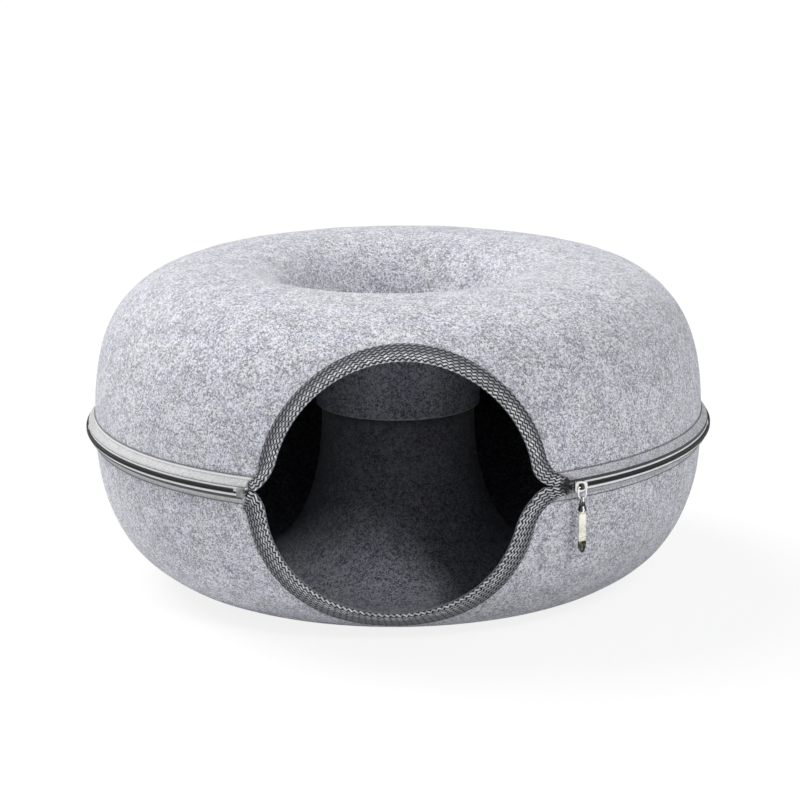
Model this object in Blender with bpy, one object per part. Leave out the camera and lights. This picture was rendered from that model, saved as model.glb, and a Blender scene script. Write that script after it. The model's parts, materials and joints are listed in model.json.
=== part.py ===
"""A donut shaped cat tunnel.

Two pressed felt half shells, each a ring shaped trough with a collar round the centre hole, are
held together round the outside by a coil zip. A round mouth is cut through both at the front and
bound with folded tape. The zip's slider carries a D ring, a folded link and a metal pull tab.

Metres, +Z up. Angles round the donut are counted from the front (-Y) towards +X.
"""

from dataclasses import dataclass
from math import acos, asin, atan2, ceil, cos, pi, radians, sin, sqrt

import bmesh
import bpy
from mathutils import Matrix, Vector

# Felt shells
rim_radius = 0.293
felt_thickness = 0.005
rim_half_gap = 0.006
upper_height = 0.1529
upper_crest_radius = 0.1643
lower_depth = 0.1505
lower_crest_radius = 0.1657
foot_flat_depth = 0.0005
upper_outer_exponent = 2.65
lower_outer_exponent = 2.36
funnel_exponent = 2.2

# Nested collars round the centre hole
neck_radius = 0.0745
neck_edge_height = 0.0145
neck_overlap = 0.0155
neck_curve_clearance = 0.004

# Mouth and its folded binding
upper_mouth_radius = 0.1145
upper_mouth_shift = 0.004
upper_mouth_rise = 0.001
upper_right_fillet = 0.025
upper_right_dip = 0.0
upper_left_fillet = 0.060
upper_left_dip = 0.015
lower_mouth_radius = 0.112
lower_mouth_shift = -0.006
lower_mouth_rise = 0.0065
lower_right_fillet = 0.060
lower_right_dip = 0.0105
lower_left_fillet = 0.030
lower_left_dip = 0.0065
binding_thickness = 0.0012
binding_half_gap = 0.0004
upper_band_width = 0.0135
upper_band_tail = 0.004
upper_left_lean = 0.0
lower_band_width = 0.016
lower_band_tail = 0.0075
lower_left_lean = 0.006
band_right_fillet = 0.034
band_left_fillet = 0.022
mouth_right_end = 0.147
mouth_left_end = 0.131

# Zip
chain_stand = 0.0066
row_gap = 0.0010
coil_height = 0.0018
coil_thickness = 0.0022
tape_thickness = 0.0006
tape_edge_height = 0.0009
tape_bend_height = 0.0056
tape_landing_height = 0.0095
tape_reach = 0.0135
stop_length = 0.0020
stop_height = 0.0022
stop_web = 0.0003
retainer_length = 0.0065
retainer_half_height = 0.0039
retainer_wall = 0.0012
insert_pin_tail = 0.0040

# Slider
slider_length = 0.0130
slider_half_height = 0.0049
slider_tail_half_height = 0.0039
slider_corner = 0.0018
slider_plate = 0.0011
slider_clearance = 0.00035
divider_thickness = 0.00045
divider_length = 0.0055
flange_width = 0.0013
crown_eye_radius = 0.0018
crown_leg = 0.0004
crown_strap = 0.0012
crown_width = 0.0024
crown_root = 0.0003

# Pull
ring_wire = 0.0013
ring_width = 0.0096
ring_height = 0.0119
ring_corner = 0.0014
ring_offset = 0.0012
link_strap = 0.0008
link_width = 0.0070
link_top_width = 0.0021
link_leg = 0.0119
link_window_width = 0.0026
link_window_top_width = 0.0013
link_window_height = 0.0044
link_pin_radius = 0.0007
link_pin_edge = 0.0018
link_pin_head_radius = 0.0011
link_pin_head = 0.0004
tab_length = 0.0358
tab_width = 0.0075
tab_thickness = 0.0024
tab_point = 0.0042
tab_corner = 0.0014
tab_taper_share = 0.5
tab_tip_share = 0.17
tab_neck_length = 0.0034
tab_neck_width = 0.0036
tab_rim = 0.0009
tab_recess = 0.0004

# Fits and finish
fit_gap = 0.0003
hardware_gap = 0.0002
edge_round = 0.0003
tab_round = 0.0004
merge_distance = 0.00003
overrun = 0.020

# Counts of facets
around_count = 56
outer_count = 9
funnel_count = 7
dense_count = 400
zip_count = 72
arc_count = 28
fillet_count = 5
bend_count = 10
ring_corner_count = 3
pin_count = 12

# Worked out from the sizes above
zip_height = lower_depth - foot_flat_depth
chain_radius = rim_radius + chain_stand
tape_inner_radius = chain_radius - tape_thickness
coil_inner_radius = chain_radius + fit_gap
coil_outer_radius = coil_inner_radius + coil_thickness
row_half_gap = row_gap / 2
coil_top = row_half_gap + coil_height
landing_radius = rim_radius + fit_gap
zip_start = asin((mouth_right_end + 2 * fit_gap) / landing_radius)
zip_end = 2 * pi - asin((mouth_left_end + 2 * fit_gap) / landing_radius)
stop_angle = stop_length / coil_outer_radius
retainer_angle = retainer_length / coil_outer_radius
gap_angle = fit_gap / coil_outer_radius
half_slider_angle = slider_length / coil_outer_radius / 2
park_angle = zip_start + stop_angle + 2 * gap_angle + half_slider_angle
travel_end = zip_end - retainer_angle - 2 * gap_angle - half_slider_angle
retainer_outer_radius = coil_outer_radius + fit_gap + retainer_wall
front_reach = sqrt(
    (landing_radius + binding_thickness) ** 2 - (lower_mouth_radius + lower_mouth_shift) ** 2
)
axis_y = (front_reach - coil_outer_radius) / 2
segment_angle = 2 * pi / around_count

plate_inner_face = tape_inner_radius - slider_clearance
plate_inner_back = plate_inner_face - slider_plate
plate_outer_face = coil_outer_radius + slider_clearance
plate_outer_front = plate_outer_face + slider_plate
ring_bar_radius = plate_outer_front + ring_offset
wire_radius = ring_wire / 2
ring_side = ring_width / 2 - wire_radius
ring_drop = ring_height - ring_wire
link_bend_inner = wire_radius + hardware_gap
link_bend_outer = link_bend_inner + link_strap
pin_drop = link_leg - link_pin_edge
tab_neck_thickness = 2 * (link_bend_inner - hardware_gap)


@dataclass
class Half:
    """One half of the donut. Heights are counted from the zip plane, away from it."""

    name: str
    side: int
    crest_radius: float
    crest_height: float
    flat_depth: float
    outer_exponent: float
    neck_radius: float
    neck_curve_end: float
    neck_end: float
    mouth_radius: float
    mouth_shift: float
    mouth_rise: float
    right_fillet: float
    right_dip: float
    left_fillet: float
    left_dip: float
    band_width: float
    band_tail: float
    left_lean: float


upper = Half(
    name="upper",
    side=1,
    crest_radius=upper_crest_radius,
    crest_height=upper_height,
    flat_depth=0.0,
    outer_exponent=upper_outer_exponent,
    neck_radius=neck_radius,
    neck_curve_end=neck_edge_height + neck_overlap,
    neck_end=neck_edge_height,
    mouth_radius=upper_mouth_radius,
    mouth_shift=upper_mouth_shift,
    mouth_rise=upper_mouth_rise,
    right_fillet=upper_right_fillet,
    right_dip=upper_right_dip,
    left_fillet=upper_left_fillet,
    left_dip=upper_left_dip,
    band_width=upper_band_width,
    band_tail=upper_band_tail,
    left_lean=upper_left_lean,
)
lower = Half(
    name="lower",
    side=-1,
    crest_radius=lower_crest_radius,
    crest_height=lower_depth,
    flat_depth=foot_flat_depth,
    outer_exponent=lower_outer_exponent,
    neck_radius=neck_radius - fit_gap - felt_thickness,
    neck_curve_end=neck_curve_clearance - neck_edge_height,
    neck_end=-neck_edge_height - neck_overlap,
    mouth_radius=lower_mouth_radius,
    mouth_shift=lower_mouth_shift,
    mouth_rise=lower_mouth_rise,
    right_fillet=lower_right_fillet,
    right_dip=lower_right_dip,
    left_fillet=lower_left_fillet,
    left_dip=lower_left_dip,
    band_width=lower_band_width,
    band_tail=lower_band_tail,
    left_lean=lower_left_lean,
)


def clear_scene():
    for thing in list(bpy.data.objects):
        bpy.data.objects.remove(thing, do_unlink=True)


def surface(name, colour, roughness, metallic=0.0):
    material = bpy.data.materials.new(name)
    material.use_nodes = True
    shader = material.node_tree.nodes["Principled BSDF"]
    shader.inputs["Base Color"].default_value = (*colour, 1.0)
    shader.inputs["Roughness"].default_value = roughness
    shader.inputs["Metallic"].default_value = metallic
    return material


def empty(name, parent=None, place=(0, 0, 0)):
    pivot = bpy.data.objects.new(name, None)
    bpy.context.collection.objects.link(pivot)
    pivot.parent = parent
    pivot.location = place
    return pivot


def add(name, data, parent, material=None):
    part = bpy.data.objects.new(name, data)
    bpy.context.collection.objects.link(part)
    part.parent = parent
    if material:
        data.materials.append(material)
    return part


def helper(name, data, parent):
    """A cutter or guide, which isn't a piece of the tunnel."""
    guide = add(name, data, parent)
    guide.hide_render = True
    guide.display_type = "WIRE"
    return guide


def finished(bm, name):
    mesh = bpy.data.meshes.new(name)
    bm.to_mesh(mesh)
    bm.free()
    mesh.shade_smooth()
    mesh.set_sharp_from_angle(angle=radians(30))
    return mesh


def boolean(part, operation, other):
    cut = part.modifiers.new(f"{operation} {other.name}", "BOOLEAN")
    cut.operation = operation
    cut.solver = "EXACT"
    cut.object = other


def thickened(part, wall, outward):
    """Gives a surface a wall that stands outward from it and fills the rest inward."""
    thickness = wall + 2 * outward
    solid = part.modifiers.new("Wall", "SOLIDIFY")
    solid.thickness = thickness
    solid.offset = 2 * outward / thickness - 1
    solid.use_even_offset = True


def rounded_edges(part, width, segments=2):
    bevel = part.modifiers.new("Edges", "BEVEL")
    bevel.width = width
    bevel.segments = segments
    bevel.limit_method = "ANGLE"
    bevel.angle_limit = radians(50)


def at(radius, angle, height):
    return Vector((radius * sin(angle), -radius * cos(angle), height))


def chain(bm, points, close):
    verts = [bm.verts.new(point) for point in points]
    edges = [bm.edges.new(pair) for pair in zip(verts, verts[1:])]
    if close:
        edges.append(bm.edges.new((verts[-1], verts[0])))
    return verts, edges


def spun_surface(name, profile, start, steps, step_angle):
    """An open profile of (radius, height) turned round the donut's axis, facing outward."""
    bm = bmesh.new()
    verts, edges = chain(bm, [at(r, start, z) for r, z in profile], close=False)
    full = steps == around_count
    bmesh.ops.spin(
        bm,
        geom=verts + edges,
        axis=(0, 0, 1),
        angle=steps * step_angle,
        steps=steps,
        use_merge=full,
    )
    bmesh.ops.recalc_face_normals(bm, faces=bm.faces)
    bm.faces.ensure_lookup_table()
    bm.normal_update()
    widest = max(bm.faces, key=lambda face: face.calc_center_median().xy.length)
    if widest.normal.xy.dot(widest.calc_center_median().xy) < 0:
        bmesh.ops.reverse_faces(bm, faces=bm.faces)
    return finished(bm, name)


def spun_bar(name, section, start, end, steps, lean=0.0):
    """A closed section of (radius, height) carried round the donut's axis, with flat ends.

    A lean turns the last end's far edge back by that angle, so that the end is cut aslant.
    """
    bm = bmesh.new()
    verts, edges = chain(bm, [at(r, start, z) for r, z in section], close=True)
    made = bmesh.ops.spin(
        bm,
        geom=verts + edges,
        axis=(0, 0, 1),
        angle=end - start,
        steps=steps,
    )
    last = [item for item in made["geom_last"] if isinstance(item, bmesh.types.BMEdge)]
    if lean:
        far = max(abs(z) for r, z in section)
        for vert in {vert for edge in last for vert in edge.verts}:
            turn = Matrix.Rotation(-lean * abs(vert.co.z) / far, 3, "Z")
            vert.co = turn @ vert.co
    bmesh.ops.edgeloop_fill(bm, edges=edges)
    bmesh.ops.edgeloop_fill(bm, edges=last)
    bmesh.ops.recalc_face_normals(bm, faces=bm.faces)
    return finished(bm, name)


def prism(name, outline, low, high, along="Y"):
    """A flat outline of (x, z), or of (y, z), made solid along the other level axis."""
    bm = bmesh.new()
    place = {"Y": lambda a, b: (a, low, b), "X": lambda a, b: (low, a, b)}[along]
    push = {"Y": (0, high - low, 0), "X": (high - low, 0, 0)}[along]
    verts = [bm.verts.new(place(a, b)) for a, b in outline]
    face = bm.faces.new(verts)
    grown = bmesh.ops.extrude_face_region(bm, geom=[face])["geom"]
    moved = [item for item in grown if isinstance(item, bmesh.types.BMVert)]
    bmesh.ops.translate(bm, vec=push, verts=moved)
    bmesh.ops.recalc_face_normals(bm, faces=bm.faces)
    return finished(bm, name)


def block(name, corner, opposite):
    (x0, y0, z0), (x1, y1, z1) = corner, opposite
    return prism(name, [(x0, z0), (x1, z0), (x1, z1), (x0, z1)], y0, y1)


def arc(centre, radius, start, end, count):
    cx, cz = centre
    turns = [start + (end - start) * i / count for i in range(count + 1)]
    return [(cx + radius * cos(turn), cz + radius * sin(turn)) for turn in turns]


def quarter_round(crest_radius, side_radius, crest, side, exponent, low, high):
    """Points of a superellipse quarter between two heights, from its upright side upwards."""

    def turn(height):
        share = max(0.0, min(1.0, (height - side) / (crest - side)))
        return asin(share ** (exponent / 2))

    first = turn(low)
    last = turn(high)
    points = []
    for i in range(dense_count + 1):
        t = first + (last - first) * i / dense_count
        r = crest_radius + (side_radius - crest_radius) * max(0.0, cos(t)) ** (2 / exponent)
        z = side + (crest - side) * sin(t) ** (2 / exponent)
        points.append((r, z))
    return points


def thinned(points, count):
    """Keeps a few of many points, closer together where the outline turns faster."""
    headings = [atan2(q[1] - p[1], q[0] - p[0]) for p, q in zip(points, points[1:])]
    lengths = [sqrt((q[0] - p[0]) ** 2 + (q[1] - p[1]) ** 2) for p, q in zip(points, points[1:])]
    turns = [0.0] + [abs(b - a) for a, b in zip(headings, headings[1:])]
    weights = [l / sum(lengths) + t / sum(turns) for l, t in zip(lengths, turns)]
    kept = [points[0]]
    run = 0.0
    for weight, point in zip(weights, points[1:]):
        run += weight * count / sum(weights)
        if run >= len(kept) and len(kept) < count:
            kept.append(point)
    return kept + [points[-1]]


def outer_curve(half):
    """The outside of the wall, from the felt's edge up to the crest or the flat of the foot."""
    top = half.crest_height - half.flat_depth
    points = quarter_round(
        half.crest_radius,
        rim_radius,
        half.crest_height,
        0.0,
        half.outer_exponent,
        rim_half_gap,
        top,
    )
    return thinned(points, outer_count)


def funnel_curve(half):
    """The side of the centre hole, from the crest or foot down to the end of the collar."""
    top = half.crest_height - half.flat_depth
    points = quarter_round(
        half.crest_radius,
        half.neck_radius,
        half.crest_height,
        half.neck_curve_end,
        funnel_exponent,
        half.neck_curve_end,
        top,
    )
    curve = thinned(points, funnel_count)
    return curve[::-1] + [(half.neck_radius, half.neck_end)]


def shell_profile(half):
    outer = outer_curve(half)
    inner = funnel_curve(half)
    if half.flat_depth == 0:
        inner = inner[1:]
    return outer + inner


def felt_radius(half, height):
    share = height / half.crest_height
    spread = (1 - share**half.outer_exponent) ** (1 / half.outer_exponent)
    return half.crest_radius + (rim_radius - half.crest_radius) * spread


def turned(half, points):
    """Puts heights that are counted away from the zip plane on the half's own side of it."""
    return [(a, half.side * b) for a, b in points]


def foot(radius, rise, fillet, dip, base, end):
    """The fillet at an arch's right foot, from its outer end to where it leaves the arch.

    The fillet touches the level line at height base - dip, so with a dip it meets the line at
    height base in a corner. Returns the points and the angle at which the arch goes on.
    """
    height = base + fillet - dip
    middle = sqrt((radius + fillet) ** 2 - (height - rise) ** 2)
    lean = asin((height - rise) / (radius + fillet))
    end_cut = acos(max(-1.0, min(0.0, (end - middle) / fillet)))
    base_cut = pi - asin((fillet - dip) / fillet)
    points = arc((middle, height), fillet, -max(end_cut, base_cut), lean - pi, fillet_count)
    if end - points[0][0] > merge_distance:
        points.insert(0, (end, base))
    return points, lean


def arch(radius, middle, right, left, base, right_end, left_end):
    """The mouth's outline, right to left: a round arch with a fillet at either foot.

    The middle is (shift, rise) and either foot is (fillet, dip).
    """
    shift, rise = middle
    right_foot, right_lean = foot(radius, rise, *right, base, right_end - shift)
    left_foot, left_lean = foot(radius, rise, *left, base, shift - left_end)
    crown_line = arc((0.0, rise), radius, right_lean, pi - left_lean, arc_count)
    mirrored = [(-x, z) for x, z in reversed(left_foot)]
    return [(shift + x, z) for x, z in right_foot + crown_line[1:] + mirrored[1:]]


def mouth_outline(half, offset):
    """The binding's fold line, or a line parallel to it in the felt, closed below the felt."""
    points = arch(
        half.mouth_radius + offset,
        (half.mouth_shift, half.mouth_rise),
        (half.right_fillet - offset, half.right_dip),
        (half.left_fillet - offset, half.left_dip),
        binding_half_gap + offset,
        mouth_right_end + overrun,
        -mouth_left_end - overrun,
    )
    points.append((-mouth_left_end - overrun, -overrun))
    points.append((mouth_right_end + overrun, -overrun))
    return turned(half, points)


def band_outline(half):
    """The far edge of the binding, closed along the line where the two bindings meet."""
    points = arch(
        half.mouth_radius + half.band_width,
        (half.mouth_shift, half.mouth_rise),
        (band_right_fillet, 0.0),
        (band_left_fillet, 0.0),
        half.band_tail,
        mouth_right_end,
        -mouth_left_end - half.left_lean,
    )
    points.append((-mouth_left_end, binding_half_gap))
    points.append((mouth_right_end, binding_half_gap))
    return turned(half, points)


def front_prism(name, outline):
    """Cuts the front wall only, and stops short of the collar."""
    return prism(name, outline, -rim_radius - overrun, -(rim_radius + upper_crest_radius) / 2)


def felt_shell(half, axis, felt):
    shell = add(
        f"{half.name}_shell",
        spun_surface(
            f"{half.name}_shell", turned(half, shell_profile(half)), 0.0, around_count, segment_angle
        ),
        axis,
        felt,
    )
    thickened(shell, felt_thickness, 0.0)
    outline = mouth_outline(half, binding_thickness + fit_gap)
    cutter = helper(f"{half.name}_mouth_cut", front_prism("mouth cut", outline), axis)
    boolean(shell, "DIFFERENCE", cutter)
    return shell


def front_strip(half, name):
    """The outside of the wall at the front, on the same facets as the felt shell."""
    steps = 1 + ceil(asin((mouth_right_end + overrun) / rim_radius) / segment_angle)
    profile = turned(half, [(rim_radius, 0.0)] + outer_curve(half))
    return spun_surface(name, profile, -steps * segment_angle, 2 * steps, segment_angle)


def mouth_binding(half, axis, tape):
    """Tape folded over the cut edge, so that it lies on the felt outside and inside."""
    name = f"{half.name}_mouth_binding"
    binding = add(name, front_strip(half, name), axis, tape)
    thickened(binding, felt_thickness, fit_gap + binding_thickness)
    band = helper(f"{half.name}_band", front_prism("band", band_outline(half)), axis)
    fold = helper(f"{half.name}_fold", front_prism("fold", mouth_outline(half, 0.0)), axis)
    room = helper(f"{half.name}_felt_room", front_strip(half, "felt room"), axis)
    thickened(room, felt_thickness, fit_gap)
    bend_outline = mouth_outline(half, binding_thickness)
    bend = helper(f"{half.name}_bend", front_prism("bend", bend_outline), axis)
    boolean(room, "DIFFERENCE", bend)
    boolean(binding, "INTERSECT", band)
    boolean(binding, "DIFFERENCE", fold)
    boolean(binding, "DIFFERENCE", room)
    return binding


def tape_section(half):
    landing = felt_radius(half, tape_landing_height) + fit_gap + tape_thickness
    hem = felt_radius(half, tape_reach) + fit_gap + tape_thickness
    outside = [
        (chain_radius, tape_edge_height),
        (chain_radius, tape_bend_height),
        (landing, tape_landing_height),
        (hem, tape_reach),
    ]
    inside = [(radius - tape_thickness, height) for radius, height in reversed(outside)]
    return turned(half, outside + inside)


def rectangle(inner, outer, low, high):
    return [(inner, low), (outer, low), (outer, high), (inner, high)]


def coil_section(half, gap=0.0):
    low = row_half_gap - gap
    section = rectangle(coil_inner_radius - gap, coil_outer_radius + gap, low, coil_top + gap)
    return turned(half, section)


def stop_section(half):
    """A staple that clasps the tape's edge at the head of the coil."""
    back = tape_inner_radius - fit_gap
    front = chain_radius + fit_gap
    web = tape_edge_height - fit_gap
    top = row_half_gap + stop_height
    section = [
        (back - slider_plate, web - stop_web),
        (coil_outer_radius, web - stop_web),
        (coil_outer_radius, top),
        (front, top),
        (front, web),
        (back, web),
        (back, top),
        (back - slider_plate, top),
    ]
    return turned(half, section)


def retainer_section():
    """A box over the chain's end, with a groove for the lower coil and one for the pin."""
    floor = coil_inner_radius
    ceiling = coil_outer_radius + fit_gap
    top = retainer_half_height
    rib = row_half_gap - hardware_gap
    groove = coil_top + fit_gap
    return [
        (floor, -top),
        (retainer_outer_radius, -top),
        (retainer_outer_radius, top),
        (floor, top),
        (floor, groove),
        (ceiling, groove),
        (ceiling, rib),
        (floor, rib),
        (floor, -rib),
        (ceiling, -rib),
        (ceiling, -groove),
        (floor, -groove),
    ]


def zip_chain(axis, tape, coil, metal):
    coil_start = zip_start + stop_angle + gap_angle
    box_start = zip_end - retainer_angle
    pin_start = box_start - insert_pin_tail / coil_outer_radius
    for half, coil_end in ((upper, pin_start - gap_angle), (lower, zip_end)):
        name = f"{half.name}_zip_tape"
        section = tape_section(half)
        lean = half.left_lean / landing_radius
        add(name, spun_bar(name, section, zip_start, zip_end, zip_count, lean), axis, tape)
        name = f"{half.name}_zip_coil"
        section = coil_section(half)
        add(name, spun_bar(name, section, coil_start, coil_end, zip_count), axis, coil)
        name = f"{half.name}_top_stop"
        section = stop_section(half)
        stop_end = zip_start + stop_angle
        add(name, spun_bar(name, section, zip_start, stop_end, 1), axis, metal)
    section = coil_section(upper)
    pin = spun_bar("insert_pin", section, pin_start, zip_end, 2)
    add("insert_pin", pin, axis, metal)
    box = spun_bar("retainer_box", retainer_section(), box_start, zip_end, 2)
    add("retainer_box", box, axis, metal)


def slider_outline():
    """A shield: broad where the two coils enter side by side, narrower at the tail."""
    nose = -slider_length / 2
    tail = slider_length / 2
    wide = slider_half_height
    slim = slider_tail_half_height
    side = [
        (nose, wide - slider_corner),
        (nose + slider_corner, wide),
        (0.0, wide),
        (tail - slider_corner, slim),
        (tail, slim - slider_corner),
    ]
    return side + [(x, -z) for x, z in reversed(side)]


def channel(name, side, low, high, back, front, axis):
    """A groove along the whole slider, between two heights on one side of its divider."""
    ends = slider_length / 2 + overrun
    heights = sorted((side * low, side * high))
    corner = (-ends, -front, heights[0])
    opposite = (ends, -back, heights[1])
    return helper(name, block(name, corner, opposite), axis)


def slider(travel, metal):
    """Two plates on a divider, with flanges that keep the coils in and let the tapes out."""
    shape = prism("slider_body", slider_outline(), -plate_outer_front, -plate_inner_back)
    body = add("slider_body", shape, travel, metal)
    rounded_edges(body, edge_round)
    half_web = divider_thickness / 2
    coil_room = coil_top + slider_clearance
    flange_end = chain_radius + slider_clearance
    beyond = slider_half_height + overrun
    for side, word in ((1, "upper"), (-1, "lower")):
        coil = channel(
            f"{word}_coil_channel",
            side,
            half_web,
            max(coil_room, slider_half_height - flange_width),
            plate_inner_face,
            plate_outer_face,
            travel,
        )
        boolean(body, "DIFFERENCE", coil)
        slot = channel(
            f"{word}_tape_slot", side, half_web, beyond, plate_inner_face, flange_end, travel
        )
        boolean(body, "DIFFERENCE", slot)
    web_end = divider_length - slider_length / 2
    corner = (web_end, -plate_outer_face, -coil_room)
    opposite = (slider_length / 2 + overrun, -plate_inner_face, coil_room)
    tail = helper("divider_end", block("divider_end", corner, opposite), travel)
    boolean(body, "DIFFERENCE", tail)
    boolean(body, "UNION", crown(travel))
    return body


def crown(travel):
    """The arched strap on the front plate that the D ring's bar turns in."""
    face = -plate_outer_front
    springing = face - crown_leg
    outer = crown_eye_radius + crown_strap
    eye = crown_eye_radius
    outline = [(face + crown_root, -outer)]
    outline += [(springing - outer * cos(t), outer * sin(t)) for t in steps_between(-pi / 2, pi / 2)]
    outline += [(face + crown_root, outer), (face + crown_root, eye)]
    outline += [(springing - eye * cos(t), eye * sin(t)) for t in steps_between(pi / 2, -pi / 2)]
    outline += [(face + crown_root, -eye)]
    width = crown_width / 2
    strap = helper("crown", prism("crown", outline, -width, width, along="X"), travel)
    rounded_edges(strap, edge_round, 1)
    return strap


def steps_between(start, end):
    return [start + (end - start) * i / bend_count for i in range(bend_count + 1)]


def wire_loop(name, points, parent, metal):
    """A closed loop of round wire through points in the XZ plane."""
    curve = bpy.data.curves.new(name, "CURVE")
    curve.dimensions = "3D"
    curve.bevel_depth = wire_radius
    curve.bevel_resolution = 2
    spline = curve.splines.new("POLY")
    spline.points.add(len(points) - 1)
    for point, (x, z) in zip(spline.points, points):
        point.co = (x, 0, z, 1)
    spline.use_cyclic_u = True
    return add(name, curve, parent, metal)


def pull_ring(pivot, metal):
    """A D ring whose straight bar turns in the slider's crown."""
    side = ring_side
    corner = ring_corner
    points = arc((side - corner, -corner), corner, pi / 2, 0.0, ring_corner_count)
    points += arc((0.0, side - ring_drop), side, 0.0, -pi, bend_count)
    points += arc((corner - side, -corner), corner, pi, pi / 2, ring_corner_count)
    return wire_loop("pull_ring", points, pivot, metal)


def link_outline():
    top = link_bend_outer + edge_round
    shoulder = -link_bend_outer
    foot = -link_leg
    corner = link_pin_edge
    half_top = link_top_width / 2
    half_foot = link_width / 2
    right = [(half_top, top), (half_top, shoulder), (half_foot, foot + corner)]
    right += [(half_foot - corner / 2, foot)]
    return right + [(-x, z) for x, z in reversed(right)]


def pull_link(pivot, metal):
    """A strip folded over the D ring's wire, flared towards the pin and pierced by a window."""
    fold = [(link_bend_outer * sin(t), link_bend_outer * cos(t)) for t in steps_between(-pi / 2, pi / 2)]
    fold += [(link_bend_outer, -link_leg), (link_bend_inner, -link_leg)]
    fold += [(link_bend_inner * sin(t), link_bend_inner * cos(t)) for t in steps_between(pi / 2, -pi / 2)]
    fold += [(-link_bend_inner, -link_leg), (-link_bend_outer, -link_leg)]
    half_width = link_width / 2 + fit_gap
    link = add("pull_link", prism("pull_link", fold, -half_width, half_width, along="X"), pivot, metal)
    reach = link_bend_outer + overrun
    trim = helper("link_trim", prism("link_trim", link_outline(), -reach, reach), pivot)
    boolean(link, "INTERSECT", trim)
    window_top = -link_bend_outer - link_strap
    window_foot = window_top - link_window_height
    narrow = link_window_top_width / 2
    window = [
        (-narrow, window_top),
        (narrow, window_top),
        (link_window_width / 2, window_foot),
        (-link_window_width / 2, window_foot),
    ]
    cut = helper("link_window", prism("link_window", window, -reach, reach), pivot)
    boolean(link, "DIFFERENCE", cut)
    hole = arc((0.0, -pin_drop), link_pin_radius + hardware_gap, 0.0, 2 * pi, pin_count)[:-1]
    bore = helper("link_bore", prism("link_bore", hole, -reach, reach), pivot)
    boolean(link, "DIFFERENCE", bore)
    return link


def link_pin(pivot, metal):
    """A rivet through both legs of the link, with a head on either side."""
    bm = bmesh.new()
    face = link_bend_outer + hardware_gap
    end = face + link_pin_head
    radii = [
        (0.0, -end),
        (link_pin_head_radius, -end),
        (link_pin_head_radius, -face),
        (link_pin_radius, -face),
        (link_pin_radius, face),
        (link_pin_head_radius, face),
        (link_pin_head_radius, end),
        (0.0, end),
    ]
    points = [(0.0, y, radius) for radius, y in radii]
    verts, edges = chain(bm, points, close=False)
    bmesh.ops.spin(bm, geom=verts + edges, axis=(0, 1, 0), angle=2 * pi, steps=pin_count, use_merge=True)
    bmesh.ops.remove_doubles(bm, verts=bm.verts, dist=merge_distance)
    bmesh.ops.translate(bm, vec=(0, 0, -pin_drop), verts=bm.verts)
    bmesh.ops.recalc_face_normals(bm, faces=bm.faces)
    return add("link_pin", finished(bm, "link_pin"), pivot, metal)


def tab_outline(inset):
    half = tab_width / 2 - inset
    top = -tab_neck_length - inset
    foot = -tab_neck_length - tab_length + inset
    shoulder = foot + tab_point
    right = [(half - tab_corner, top), (half, top - tab_corner), (half, shoulder)]
    right += [(half * tab_taper_share, foot + tab_corner), (half * tab_tip_share, foot)]
    return right + [(-x, z) for x, z in reversed(right)]


def pull_tab(pivot, metal):
    """A flat bar with a pointed foot, a bare sunk panel on either face and a pierced neck."""
    half = tab_thickness / 2
    tab = add("pull_tab", prism("pull_tab", tab_outline(0.0), -half, half), pivot, metal)
    rounded_edges(tab, tab_round)
    neck_half = tab_neck_thickness / 2
    eye = link_pin_radius + hardware_gap
    lobe = arc((0.0, 0.0), tab_neck_width / 2, 0.0, pi, bend_count)
    root = -tab_neck_length - tab_rim
    outline = lobe + [(-tab_neck_width / 2, root), (tab_neck_width / 2, root)]
    neck = helper("tab_neck", prism("tab_neck", outline, -neck_half, neck_half), pivot)
    boolean(tab, "UNION", neck)
    hole = arc((0.0, 0.0), eye, 0.0, 2 * pi, pin_count)[:-1]
    bore = helper("tab_bore", prism("tab_bore", hole, -half - overrun, half + overrun), pivot)
    boolean(tab, "DIFFERENCE", bore)
    for side, word in ((1, "back"), (-1, "front")):
        ends = sorted((side * (half - tab_recess), side * (half + tab_recess)))
        shape = prism(f"{word}_panel", tab_outline(tab_rim), ends[0], ends[1])
        panel = helper(f"{word}_panel", shape, pivot)
        boolean(tab, "DIFFERENCE", panel)
    return tab


def build():
    clear_scene()
    felt = surface("grey felt", (0.42, 0.42, 0.45), 0.95)
    lining = surface("darker felt", (0.40, 0.40, 0.43), 0.95)
    webbing = surface("herringbone tape", (0.17, 0.17, 0.18), 0.85)
    zip_tape = surface("zip tape", (0.40, 0.40, 0.41), 0.9)
    nylon = surface("black nylon", (0.02, 0.02, 0.022), 0.4)
    chrome = surface("plated metal", (0.75, 0.74, 0.72), 0.15, 1.0)
    grey_metal = surface("grey metal", (0.55, 0.55, 0.56), 0.35, 1.0)

    axis = empty("donut_axis", place=(0, axis_y, zip_height))
    felt_shell(upper, axis, felt)
    felt_shell(lower, axis, lining)
    mouth_binding(upper, axis, webbing)
    mouth_binding(lower, axis, webbing)
    zip_chain(axis, zip_tape, nylon, grey_metal)

    travel = empty("slider_travel", axis)
    travel.rotation_euler.z = park_angle
    slider(travel, chrome)
    ring_pivot = empty("ring_pivot", travel, (0, -ring_bar_radius, 0))
    pull_ring(ring_pivot, chrome)
    link_pivot = empty("link_pivot", ring_pivot, (0, 0, -ring_drop))
    pull_link(link_pivot, chrome)
    link_pin(link_pivot, chrome)
    tab_pivot = empty("tab_pivot", link_pivot, (0, 0, -pin_drop))
    pull_tab(tab_pivot, chrome)

    bpy.context.view_layer.update()
    for pivot in (travel, ring_pivot, link_pivot, tab_pivot):
        place = pivot.matrix_world.translation
        out = pivot.matrix_world.to_3x3() @ Vector((0, -1, 0))
        print(pivot.name, [round(v, 6) for v in place], "faces", [round(v, 6) for v in out])
    print("slider travel, degrees", round((travel_end - park_angle) * 180 / pi, 3))


build()
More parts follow.
